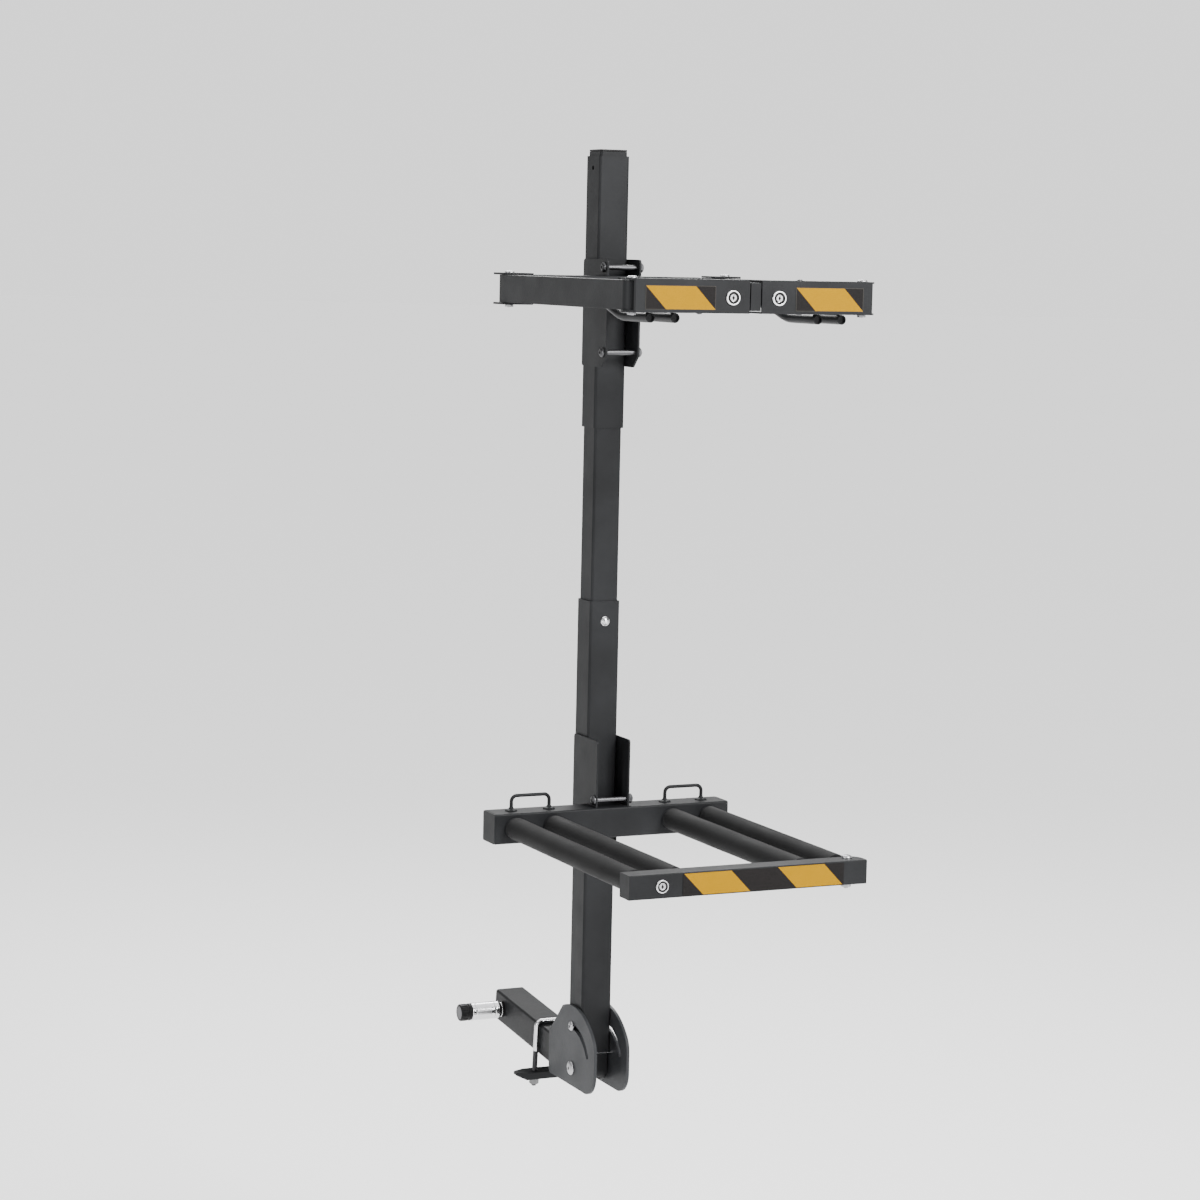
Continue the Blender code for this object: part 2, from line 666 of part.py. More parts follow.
def pin_and_lock(shank_axis, side):
    at = (0.0, PIN_ALONG, 0.0)
    barrel_start = side + COLLAR_LENGTH + 2 * GAP
    tip = barrel_start + PIN_REACH
    neck = tip + side + GAP
    top = neck + PIN_HEAD_LENGTH
    profile = [(0.0, top), (PIN_HEAD_RADIUS - PIN_EDGE, top), (PIN_HEAD_RADIUS, top - PIN_EDGE),
               (PIN_HEAD_RADIUS, neck), (PIN_RADIUS, neck), (PIN_RADIUS, PIN_EDGE),
               (PIN_RADIUS - PIN_EDGE, 0.0), (0.0, 0.0)]
    pin = turned(profile, (-tip, PIN_ALONG, 0.0), (1, 0, 0))
    piece("hitch_pin", "zinc_steel", shank_axis, [pin], at)

    collar_foot = (-(side + GAP), PIN_ALONG, 0.0)
    ring = [(PIN_RADIUS + GAP, COLLAR_LENGTH), (COLLAR_RADIUS, COLLAR_LENGTH),
            (COLLAR_RADIUS, 0.0), (PIN_RADIUS + GAP, 0.0)]
    collar = turned(ring, collar_foot, (-1, 0, 0), closed=True)
    piece("pin_collar", "rubber_black", shank_axis, [collar], at)

    lock_axis = joint_axis("pin_lock_axis", at, shank_axis)
    pocket = BARREL_LENGTH - KEY_LENGTH - GAP
    profile = [(0.0, pocket), (KEY_RADIUS + GAP, pocket), (KEY_RADIUS + GAP, BARREL_LENGTH),
               (BARREL_RADIUS - BARREL_EDGE, BARREL_LENGTH),
               (BARREL_RADIUS, BARREL_LENGTH - BARREL_EDGE), (BARREL_RADIUS, BARREL_EDGE),
               (BARREL_RADIUS - BARREL_EDGE, 0.0), (PIN_RADIUS + GAP, 0.0),
               (PIN_RADIUS + GAP, PIN_REACH + GAP), (0.0, PIN_REACH + GAP)]
    barrel = turned(profile, (-barrel_start, PIN_ALONG, 0.0), (-1, 0, 0))
    piece("pin_lock_barrel", "chrome", lock_axis, [barrel], at)

    key_foot = barrel_start + pocket + GAP
    face = key_foot + KEY_LENGTH
    cylinder = rod((-key_foot, PIN_ALONG, 0.0), (-face, PIN_ALONG, 0.0), KEY_RADIUS)
    keyway = block((-face - GAP, PIN_ALONG - KEYWAY_WIDTH / 2, -KEYWAY_HEIGHT / 2),
                   (-face + KEYWAY_DEPTH, PIN_ALONG + KEYWAY_WIDTH / 2, KEYWAY_HEIGHT / 2))
    piece("pin_key_cylinder", "zinc_steel", lock_axis, [cylinder], at, cuts=[keyway])

    cap_start = barrel_start + BARREL_LENGTH + GAP
    profile = [(0.0, CAP_LENGTH), (CAP_RADIUS - CAP_EDGE, CAP_LENGTH),
               (CAP_RADIUS, CAP_LENGTH - CAP_EDGE), (CAP_RADIUS, 0.0),
               (CAP_RADIUS - CAP_WALL, 0.0), (CAP_RADIUS - CAP_WALL, CAP_LENGTH - CAP_WALL),
               (0.0, CAP_LENGTH - CAP_WALL)]
    cap = turned(profile, (-cap_start, PIN_ALONG, 0.0), (-1, 0, 0))
    piece("pin_dust_cap", "plastic_black", lock_axis, [cap], at)


def bent(corner_from, corner, corner_to, radius, steps=4):
    """Points of an arc that rounds a corner of a wire's path."""
    corner = Vector(corner)
    before = (Vector(corner_from) - corner).normalized()
    after = (Vector(corner_to) - corner).normalized()
    centre = corner + (before + after) * radius
    points = []
    for step in range(steps + 1):
        turn = math.pi / 2 * step / steps
        points.append(centre - after * radius * math.cos(turn) - before * radius * math.sin(turn))
    return points


def anti_rattle_clamp(shank_axis, side):
    at = (0.0, CLAMP_ALONG, 0.0)
    leg = side + GAP + WIRE_RADIUS
    feet = [Vector((-leg, CLAMP_ALONG, -CLAMP_LEG)), Vector((leg, CLAMP_ALONG, -CLAMP_LEG))]
    tops = [Vector((-leg, CLAMP_ALONG, leg)), Vector((leg, CLAMP_ALONG, leg))]
    path = [feet[0]]
    path += bent(feet[0], tops[0], tops[1], CLAMP_BEND)
    path += bent(tops[0], tops[1], feet[1], CLAMP_BEND)
    path.append(feet[1])
    top = CLAMP_PLATE_TOP
    nut_z = top - CLAMP_PLATE_HEIGHT - GAP - CLAMP_NUT_HEIGHT / 2
    nuts = [nut((x, CLAMP_ALONG, nut_z), "Z", CLAMP_NUT_ACROSS, CLAMP_NUT_HEIGHT)
            for x in (-leg, leg)]
    piece("u_bolt", "chrome", shank_axis, [pipe(path, WIRE_RADIUS)], at, joins=nuts)

    outline = [(-CLAMP_PLATE_HALF, top), (-CLAMP_PLATE_HALF, top - CLAMP_PLATE_END),
               (-CLAMP_PLATE_FULL_HALF, top - CLAMP_PLATE_HEIGHT),
               (CLAMP_PLATE_FULL_HALF, top - CLAMP_PLATE_HEIGHT),
               (CLAMP_PLATE_HALF, top - CLAMP_PLATE_END), (CLAMP_PLATE_HALF, top)]
    bar = plate([outline], CLAMP_PLATE_WIDTH, "Y", at)
    holes = [rod((x, CLAMP_ALONG, top + GAP), (x, CLAMP_ALONG, top - CLAMP_PLATE_HEIGHT - GAP),
                 WIRE_RADIUS + GAP) for x in (-leg, leg)]
    slope = (CLAMP_PLATE_WIDTH - CLAMP_PLATE_TIP_WIDTH) / 2
    reach = CLAMP_PLATE_HALF - CLAMP_PLATE_FULL_HALF
    corners = []
    for end in (-1, 1):
        for edge in (-1, 1):
            triangle = [(end * CLAMP_PLATE_FULL_HALF, edge * CLAMP_PLATE_WIDTH / 2),
                        (end * (CLAMP_PLATE_FULL_HALF + 2 * reach),
                         edge * (CLAMP_PLATE_WIDTH / 2 - 2 * slope)),
                        (end * (CLAMP_PLATE_FULL_HALF + 2 * reach), edge * CLAMP_PLATE_WIDTH)]
            corners.append(plate([triangle], 3 * CLAMP_PLATE_HEIGHT, "Z",
                                 (0.0, CLAMP_ALONG, top - CLAMP_PLATE_HEIGHT / 2)))
    piece("clamp_plate", "powder_black", shank_axis, [bar], at, cuts=holes + corners)


def mast_and_foot(axis):
    at = (0.0, 0.0, 0.0)
    side = MAST_HALF - MAST_WALL - FOOT_GAP
    loop = rounded([(-side, -side, side), (side, -side, side), (side, FOOT_TOP, 0.0),
                    (-side, FOOT_TOP, 0.0)], steps=6)
    foot = plate([loop], 2 * side, "X", at)
    pocket = side - FOOT_WALL
    cuts = [block((-pocket, -pocket, -MAST_SIDE), (pocket, pocket, FOOT_TOP + GAP)),
            rod((-MAST_SIDE, 0.0, 0.0), (MAST_SIDE, 0.0, 0.0), PIVOT_RADIUS + GAP),
            rod((-MAST_SIDE, 0.0, CLAMP_BOLT_HEIGHT), (MAST_SIDE, 0.0, CLAMP_BOLT_HEIGHT),
                BOLT_RADIUS + GAP)]
    piece("mast_foot", "powder_black", axis, [foot], at, cuts=cuts)

    length = MAST_STEP - MAST_BOTTOM
    middle = (0.0, 0.0, (MAST_STEP + MAST_BOTTOM) / 2)
    tube = square_tube(MAST_SIDE, MAST_SIDE, MAST_WALL, MAST_CORNER, length, "Z", middle)
    screw_z = MAST_STEP - SET_SCREW_BELOW_TOP
    cuts = [rod((-MAST_SIDE, 0.0, CLAMP_BOLT_HEIGHT), (MAST_SIDE, 0.0, CLAMP_BOLT_HEIGHT),
                BOLT_RADIUS + GAP),
            rod((0.0, -MAST_SIDE, screw_z), (0.0, -INNER_HALF / 2, screw_z), BOLT_RADIUS + GAP)]
    piece("mast_lower_tube", "powder_black", axis, [tube], middle, cuts=cuts)

    seat = (-(PLATE_OUTER_X + GAP), 0.0, CLAMP_BOLT_HEIGHT)
    fastener("tilt_clamp_bolt", "zinc_steel", axis, seat, (1, 0, 0), 2 * (PLATE_OUTER_X + GAP))

    screw = bolt((0.0, -(MAST_HALF + GAP), screw_z), (0, 1, 0), MAST_WALL + GAP)
    piece("mast_set_screw", "chrome", axis, [screw], (0.0, -MAST_HALF, screw_z))


def bracket(name, axis, outline, bolt_places, at):
    """Two side plates on the mast, held together by cross bolts with their nuts."""
    outside = BRACKET_X + BRACKET_THICK
    plates = [plate([outline], BRACKET_THICK, "X", (sign * (BRACKET_X + BRACKET_THICK / 2), 0, 0))
              for sign in (-1, 1)]
    bolts = []
    for y, z in bolt_places:
        bolts.append(bolt((-outside, y, z), (1, 0, 0), 2 * outside + NUT_HEIGHT + BOLT_TIP))
        bolts.append(nut((outside + NUT_HEIGHT / 2, y, z), "X"))
    piece(name, "powder_black", axis, plates, at, joins=bolts)


def lower_brackets(axis):
    back = -MAST_HALF
    seat = LOWER_BEAM_TOP + GAP
    outline = rounded([(BRACKET_FRONT, seat, 0.0), (back, seat, 0.0),
                       (back, LOWER_BRACKET_BOTTOM, 0.0),
                       (BRACKET_REAR, LOWER_BRACKET_BOTTOM, BRACKET_ROUND),
                       (BRACKET_REAR, LOWER_BRACKET_TOP, BRACKET_ROUND),
                       (BRACKET_FRONT, LOWER_BRACKET_TOP, BRACKET_ROUND)])
    place = (BRACKET_FRONT + BRACKET_BOLT_BACK, LOWER_BEAM_TOP + LOWER_BRACKET_BOLT_ABOVE)
    bracket("lower_bracket", axis, outline, [place], (0.0, 0.0, LOWER_BEAM_TOP))


def lower_carrier(axis):
    """Beam, its caps, the handles on it and the four padded bars."""
    at = (0.0, LOWER_BEAM_MIDDLE, LOWER_BEAM_Z)
    length = 2 * (LOWER_BEAM_HALF - BEAM_CAP_THICK + BEAM_CAP_SINK)
    beam = square_tube(LOWER_BEAM_DEPTH, LOWER_BEAM_HEIGHT, BEAM_WALL, BEAM_CORNER, length, "X", at)
    holes = [rod((x, LOWER_BEAM_FRONT - GAP, BAR_Z), (x, LOWER_BEAM_MIDDLE, BAR_Z),
                 ROD_RADIUS + GAP, SIDES_LARGE) for x in BAR_X]
    cap = rectangle(LOWER_BEAM_DEPTH - 2 * BEAM_CAP_INSET, LOWER_BEAM_HEIGHT - 2 * BEAM_CAP_INSET,
                    BEAM_CORNER)
    caps = [plate([cap], BEAM_CAP_THICK, "X",
                  (sign * (LOWER_BEAM_HALF - BEAM_CAP_THICK / 2), at[1], at[2]))
            for sign in (-1, 1)]
    piece("lower_beam", "powder_black", axis, [beam], at, joins=caps, cuts=holes)
    carry_handles(axis)

    for number, x in enumerate(BAR_X, start=1):
        hinged = number == len(BAR_X)
        front = HINGE_ROD_FRONT if hinged else ROD_FRONT
        foam_front = HINGE_FOAM_FRONT if hinged else FOAM_FRONT
        rear = (x, LOWER_BEAM_FRONT + ROD_IN_BEAM, BAR_Z)
        tube = round_tube(ROD_RADIUS, ROD_RADIUS - ROD_WALL, rear, front)
        ring_rear = (x, LOWER_BEAM_FRONT - GAP, BAR_Z)
        ring = round_tube(RING_RADIUS, ROD_RADIUS - ROD_WALL / 2, ring_rear,
                          ring_rear[1] - RING_LENGTH)
        piece("bar_rod_" + str(number), "black_steel", axis, [tube], ring_rear, joins=[ring])
        foam_rear = (x, LOWER_BEAM_FRONT - 2 * GAP - RING_LENGTH, BAR_Z)
        foam = round_tube(FOAM_RADIUS, ROD_RADIUS + GAP, foam_rear, foam_front)
        piece("foam_sleeve_" + str(number), "foam_black", axis, [foam], foam_rear)


def carry_handles(axis):
    base = LOWER_BEAM_TOP + GAP
    y = LOWER_BEAM_MIDDLE
    for side, sign in (("left", -1), ("right", 1)):
        outer = sign * HANDLE_OUTER_X
        inner = sign * HANDLE_INNER_X
        corners = [Vector((outer, y, base + HANDLE_FOOT_THICK / 2)),
                   Vector((outer, y, base + HANDLE_RISE)), Vector((inner, y, base + HANDLE_RISE)),
                   Vector((inner, y, base + HANDLE_FOOT_THICK / 2))]
        path = [corners[0]]
        path += bent(corners[0], corners[1], corners[2], HANDLE_BEND)
        path += bent(corners[1], corners[2], corners[3], HANDLE_BEND)
        path.append(corners[3])
        feet = [rod((x, y, base), (x, y, base + HANDLE_FOOT_THICK), HANDLE_FOOT_RADIUS)
                for x in (outer, inner)]
        piece("carry_handle_" + side, "powder_black", axis, [pipe(path, HANDLE_WIRE)],
              (outer, y, base), joins=feet)


def gate_mounts(axis):
    """Hinge lug on the right bar and striker on the left one."""
    lug_half = GATE_HEIGHT / 2 - GATE_WALL - GAP
    hinge = (GATE_HINGE_X, GATE_HINGE_Y)
    rear = HINGE_ROD_FRONT - GAP
    outline = rounded([(hinge[0] - LUG_RADIUS, rear, 0.0),
                       (hinge[0] - LUG_RADIUS, hinge[1] - LUG_RADIUS, LUG_RADIUS),
                       (hinge[0] + LUG_RADIUS, hinge[1] - LUG_RADIUS, LUG_RADIUS),
                       (hinge[0] + LUG_RADIUS, rear, 0.0)])
    lug = plate([outline, circle(hinge, BOLT_RADIUS + GAP)], 2 * lug_half, "Z", (0, 0, GATE_Z))
    piece("gate_hinge_lug", "powder_black", axis, [lug], (*hinge, GATE_Z))

    top = GATE_Z + GATE_HEIGHT / 2 + GAP
    fastener("gate_hinge_bolt", "zinc_steel", axis, (*hinge, top), (0, 0, -1),
             GATE_HEIGHT + 2 * GAP)

    cam_reach = GATE_LOCK_X - GATE_CAM_LENGTH
    tip = cam_reach + STRIKER_ENGAGE
    bar = BAR_X[0]
    front = gate_cam_front() - GAP
    outline = [(bar - STRIKER_STEM_HALF, front - STRIKER_THICK), (tip, front - STRIKER_THICK),
               (tip, front), (bar + STRIKER_STEM_HALF, front),
               (bar + STRIKER_STEM_HALF, ROD_FRONT - GAP), (bar - STRIKER_STEM_HALF, ROD_FRONT - GAP)]
    striker = plate([outline], 2 * GATE_STRIKER_HALF_HEIGHT, "Z", (0, 0, GATE_LOCK_Z))
    piece("gate_striker", "black_steel", axis, [striker], (bar, ROD_FRONT, GATE_LOCK_Z))


def gate_cam_front():
    """Front face of the gate lock's cam: behind the housing and the striker."""
    return GATE_FRONT + LOCK_BODY_LENGTH + STRIKER_THICK + 2 * GAP


def upper_cam_front():
    return UPPER_BAR_FRONT + LOCK_BODY_LENGTH + UPPER_BAR_WALL + STRIKER_THICK + 2 * GAP


def lock_housing(name, axis, x, face, z, flange_radius, body):
    """Ring and barrel of a cam lock, through a front wall whose face is at y = face."""
    top = body + GAP + HOUSING_FLANGE_THICK
    profile = [(HOUSING_BORE, top), (flange_radius - HOUSING_EDGE, top),
               (flange_radius, top - HOUSING_EDGE), (flange_radius, body + GAP),
               (HOUSING_RADIUS, body + GAP), (HOUSING_RADIUS, 0.0), (HOUSING_BORE, 0.0)]
    foot = (x, face + body, z)
    shape = turned(profile, foot, (0, -1, 0), SIDES_LARGE, closed=True)
    piece(name, "chrome", axis, [shape], (x, face, z))


def lock_cylinder(name, axis, x, face, z, body, cam_front, cam_length):
    """Plug with its keyway, and the cam on its tail, pointing down at rest."""
    radius = HOUSING_BORE - GAP
    tail_end = cam_front + CAM_THICK + LOCK_TAIL_SPARE
    front = face - HOUSING_FLANGE_THICK
    step = face + body
    profile = [(0.0, tail_end - front), (radius, tail_end - front), (radius, tail_end - step),
               (LOCK_TAIL_RADIUS, tail_end - step), (LOCK_TAIL_RADIUS, 0.0), (0.0, 0.0)]
    plug = turned(profile, (x, tail_end, z), (0, -1, 0), SIDES_SMALL)
    cam_loop = rounded([(-CAM_WIDTH / 2, -cam_length, CAM_TIP_ROUND),
                        (CAM_WIDTH / 2, -cam_length, CAM_TIP_ROUND),
                        (CAM_WIDTH / 2, CAM_WIDTH / 2, CAM_TOP_ROUND),
                        (-CAM_WIDTH / 2, CAM_WIDTH / 2, CAM_TOP_ROUND)])
    cam = plate([cam_loop], CAM_THICK, "Y", (x, cam_front + CAM_THICK / 2, z))
    keyway = block((x - KEYHOLE_WIDTH / 2, front - GAP, z - KEYHOLE_HEIGHT / 2),
                   (x + KEYHOLE_WIDTH / 2, front + KEYHOLE_DEPTH, z + KEYHOLE_HEIGHT / 2))
    lock_axis = joint_axis(name + "_axis", (x, face, z), axis)
    piece(name, "zinc_steel", lock_axis, [plug], (x, face, z), joins=[cam], cuts=[keyway])


def gate(axis):
    at = (GATE_HINGE_X, GATE_HINGE_Y, GATE_Z)
    loop = rectangle(GATE_DEPTH, GATE_HEIGHT, GATE_CORNER, (GATE_FRONT + GATE_DEPTH / 2, GATE_Z))
    bar = plate([loop], 2 * GATE_HALF, "X", (0.0, 0.0, 0.0))
    half = GATE_HEIGHT / 2 - GATE_WALL
    pocket = block((-GATE_HALF + GATE_WALL, GATE_FRONT + GATE_WALL, GATE_Z - half),
                   (2 * GATE_HALF, 0.0, GATE_Z + half))
    hinge_hole = rod((*at[:2], GATE_BOTTOM - GATE_HEIGHT), (*at[:2], GATE_BOTTOM + 2 * GATE_HEIGHT),
                     BOLT_RADIUS + GAP)
    lock_hole = rod((GATE_LOCK_X, GATE_FRONT - GATE_DEPTH, GATE_LOCK_Z),
                    (GATE_LOCK_X, GATE_FRONT + 2 * GATE_WALL, GATE_LOCK_Z), HOUSING_RADIUS + GAP)
    round_x = GATE_HALF - GATE_ROUND
    round_y = GATE_REAR - GATE_ROUND
    corner = [(round_x + GATE_ROUND * math.sin(math.pi / 2 * step / GATE_ROUND_STEPS),
               round_y + GATE_ROUND * math.cos(math.pi / 2 * step / GATE_ROUND_STEPS))
              for step in range(GATE_ROUND_STEPS + 1)]
    corner += [(2 * GATE_HALF, round_y), (2 * GATE_HALF, 0.0), (round_x, 0.0)]
    rounding = plate([corner], 2 * GATE_HEIGHT, "Z", (0.0, 0.0, GATE_Z))
    piece("gate_channel", "powder_black", axis, [bar], at,
          cuts=[pocket, hinge_hole, lock_hole, rounding])

    tape("gate_tape", axis, GATE_TAPE_LEFT, GATE_TAPE_RIGHT, GATE_Z, GATE_TAPE_HEIGHT, GATE_FRONT)
    lock = (GATE_LOCK_X, GATE_FRONT, GATE_LOCK_Z)
    lock_housing("gate_lock_housing", axis, *lock, GATE_FLANGE_RADIUS, LOCK_BODY_LENGTH)
    lock_cylinder("gate_lock_cylinder", axis, *lock, LOCK_BODY_LENGTH, gate_cam_front(),
                  GATE_CAM_LENGTH)


def tape(name, axis, left, right, middle_z, height, face):
    """Strip of hazard tape on a front face."""
    middle = ((left + right) / 2, face - GAP - TAPE_THICK / 2, middle_z)
    strip = plate([rectangle(right - left, height, 0.0)], TAPE_THICK, "Y", middle)
    piece(name, "tape_yellow", axis, [strip], middle)


def telescopic_mast(axis):
    middle = (0.0, 0.0, (INNER_BOTTOM + INNER_TOP) / 2)
    tube = square_tube(2 * INNER_HALF, 2 * INNER_HALF, MAST_WALL, MAST_CORNER,
                       INNER_TOP - INNER_BOTTOM, "Z", middle)
    piece("mast_inner_tube", "powder_black", axis, [tube], middle)
    cap_z = INNER_TOP + GAP + TOP_CAP_THICK / 2
    plug_half = INNER_HALF - MAST_WALL - GAP
    cap = plate([rectangle(2 * INNER_HALF, 2 * INNER_HALF, MAST_CORNER)], TOP_CAP_THICK, "Z",
                (0.0, 0.0, cap_z))
    plug = plate([rectangle(2 * plug_half, 2 * plug_half, MAST_CORNER - MAST_WALL)], TOP_CAP_PLUG,
                 "Z", (0.0, 0.0, cap_z - TOP_CAP_PLUG / 2))
    piece("mast_top_cap", "plastic_black", axis, [cap], (0.0, 0.0, cap_z), joins=[plug])


def sleeve_and_brackets(axis):
    middle = (0.0, 0.0, (SLEEVE_BOTTOM + SLEEVE_TOP) / 2)
    tube = square_tube(MAST_SIDE, MAST_SIDE, MAST_WALL, MAST_CORNER, SLEEVE_TOP - SLEEVE_BOTTOM,
                       "Z", middle)
    screw_z = SLEEVE_BOTTOM + SLEEVE_SCREW_ABOVE_BOTTOM
    hole_z = SLEEVE_TOP - SLEEVE_HOLE_BELOW_TOP
    cuts = [rod((0.0, INNER_HALF / 2, screw_z), (0.0, MAST_SIDE, screw_z), BOLT_RADIUS + GAP),
            rod((-MAST_SIDE, 0.0, hole_z), (-INNER_HALF / 2, 0.0, hole_z), SLEEVE_HOLE_RADIUS)]
    piece("mast_sleeve", "powder_black", axis, [tube], middle, cuts=cuts)
    screw = bolt((0.0, MAST_HALF + GAP, screw_z), (0, -1, 0), MAST_WALL + GAP)
    piece("sleeve_set_screw", "chrome", axis, [screw], (0.0, MAST_HALF, screw_z))

    back = -MAST_HALF
    beam_low = HOLDER_Z - UPPER_BEAM_HALF_HEIGHT - GAP
    beam_high = HOLDER_Z + UPPER_BEAM_HALF_HEIGHT + GAP
    outline = rounded([(BRACKET_FRONT, beam_high, 0.0), (back, beam_high, 0.0),
                       (back, beam_low, 0.0), (BRACKET_FRONT, beam_low, 0.0),
                       (BRACKET_FRONT, UPPER_BRACKET_BOTTOM + UPPER_BRACKET_CHAMFER, 0.0),
                       (BRACKET_FRONT + UPPER_BRACKET_CHAMFER, UPPER_BRACKET_BOTTOM, 0.0),
                       (BRACKET_REAR, UPPER_BRACKET_BOTTOM, BRACKET_ROUND),
                       (BRACKET_REAR, UPPER_BRACKET_TOP, BRACKET_ROUND),
                       (BRACKET_FRONT, UPPER_BRACKET_TOP, BRACKET_ROUND)])
    y = BRACKET_FRONT + BRACKET_BOLT_BACK + BOLT_RADIUS
    places = [(y, UPPER_BRACKET_TOP - UPPER_BOLT_BELOW_TOP),
              (y, UPPER_BRACKET_BOTTOM + UPPER_BOLT_ABOVE_BOTTOM)]
    bracket("upper_bracket", axis, outline, places, (0.0, 0.0, HOLDER_Z))


def upper_holder(axis):
    """Rear beam, its hinge plates and pins, the centre arm and the divider rods."""
    at = (0.0, REAR_PIN_Y, HOLDER_Z)
    beam = square_tube(UPPER_BEAM_DEPTH, 2 * UPPER_BEAM_HALF_HEIGHT, BEAM_WALL, BEAM_CORNER,
                       2 * UPPER_BEAM_HALF, "X", at)
    sides = [sign * x for sign in (-1, 1) for x in DIVIDER_X]
    holes = [rod((x, UPPER_BEAM_FRONT - GAP, DIVIDER_Z), (x, REAR_PIN_Y, DIVIDER_Z),
                 DIVIDER_RADIUS + GAP) for x in sides]
    plates = []
    width = HINGE_PLATE_OUTER - HINGE_PLATE_INNER
    for side, sign in (("left", -1), ("right", 1)):
        pin = (sign * HOLDER_PIN_X, REAR_PIN_Y)
        middle = (sign * (HINGE_PLATE_INNER + width / 2), REAR_PIN_Y)
        loops = [rectangle(width, UPPER_BEAM_DEPTH - 2 * GAP, BRACKET_ROUND, middle),
                 circle(pin, BOLT_RADIUS + GAP)]
        lift = ARM_HEIGHT / 2 + GAP + HINGE_PLATE_THICK / 2
        plates += [plate(loops, HINGE_PLATE_THICK, "Z", (0.0, 0.0, HOLDER_Z + level))
                   for level in (-lift, lift)]
        half_grip = ARM_HEIGHT / 2 + 2 * GAP + HINGE_PLATE_THICK
        hinge_pin("rear_hinge_pin_" + side, axis, (*pin, HOLDER_Z + half_grip), 2 * half_grip)
    piece("upper_beam", "powder_black", axis, [beam], at, joins=plates, cuts=holes)

    rear = UPPER_BEAM_FRONT - GAP
    front = BLOCK_REAR + GAP
    arm_at = (0.0, (rear + front) / 2, HOLDER_Z)
    arm = square_tube(2 * CENTRE_ARM_HALF, 2 * CENTRE_ARM_HALF_HEIGHT, BEAM_WALL, BEAM_CORNER,
                      rear - front, "Y", arm_at)
    piece("centre_arm", "powder_black", axis, [arm], arm_at)
    block_at = (0.0, BLOCK_REAR, HOLDER_Z)
    body = block((-BLOCK_HALF, UPPER_BAR_FRONT, HOLDER_Z - BLOCK_HALF_HEIGHT),
                 (BLOCK_HALF, BLOCK_REAR, HOLDER_Z + BLOCK_HALF_HEIGHT))
    tab_rear = upper_cam_front() - GAP
    tab = block((-TAB_HALF, tab_rear - STRIKER_THICK, HOLDER_Z - TAB_HALF_HEIGHT),
                (TAB_HALF, tab_rear, HOLDER_Z + TAB_HALF_HEIGHT))
    piece("centre_block", "powder_black", axis, [body], block_at, joins=[tab])

    under = HOLDER_Z - UPPER_BAR_HALF - DIVIDER_UNDER_BAR - DIVIDER_RADIUS
    for number, x in enumerate(sorted(sides), start=1):
        outer = pipe(divider_path(x, under, 0.0), DIVIDER_RADIUS, DIVIDER_SIDES)
        bore = pipe(divider_path(x, under, BOLT_TIP), DIVIDER_BORE, DIVIDER_SIDES)
        piece("divider_rod_" + str(number), "black_steel", axis, [outer],
              (x, UPPER_BEAM_FRONT, DIVIDER_Z), cuts=[bore])


def divider_path(x, low, extra):
    """Straight out of the beam, one soft step down, straight on under the front bar."""
    span = DIVIDER_BEND_END - DIVIDER_BEND_START
    path = [(x, UPPER_BEAM_FRONT + DIVIDER_IN_BEAM + extra, DIVIDER_Z)]
    for step in range(DIVIDER_BEND_STEPS + 1):
        share = step / DIVIDER_BEND_STEPS
        drop = (1.0 - math.cos(math.pi * share)) / 2
        path.append((x, DIVIDER_BEND_START + span * share, DIVIDER_Z + (low - DIVIDER_Z) * drop))
    path.append((x, DIVIDER_FRONT - extra, low))
    return path


def side_arm(name, axis, sign):
    """Hollow swing arm, round at both ends, with a pin hole in each and two drain holes."""
    half = ARM_WIDTH / 2
    x = sign * HOLDER_PIN_X
    rear = REAR_PIN_Y
    loop = rounded([(x - half, FRONT_PIN_Y - half, half), (x + half, FRONT_PIN_Y - half, half),
                    (x + half, rear + half, half), (x - half, rear + half, half)], steps=6)
    bar = plate([loop], ARM_HEIGHT, "Z", (0.0, 0.0, HOLDER_Z))
    inner = half - ARM_WALL
    core = ARM_HEIGHT / 2 - ARM_WALL
    low = HOLDER_Z - ARM_HEIGHT
    high = HOLDER_Z + ARM_HEIGHT
    cuts = [block((x - inner, FRONT_PIN_Y + ARM_SOLID_END, HOLDER_Z - core),
                  (x + inner, rear - ARM_SOLID_END, HOLDER_Z + core))]
    cuts += [rod((x, y, low), (x, y, high), BOLT_RADIUS + GAP) for y in (FRONT_PIN_Y, rear)]
    cuts += [rod((x, y, low), (x, y, HOLDER_Z), DRAIN_RADIUS, 8)
             for y in (FRONT_PIN_Y + 2 * ARM_SOLID_END, rear - 2 * ARM_SOLID_END)]
    piece(name, "powder_black", axis, [bar], (x, rear, HOLDER_Z), cuts=cuts)


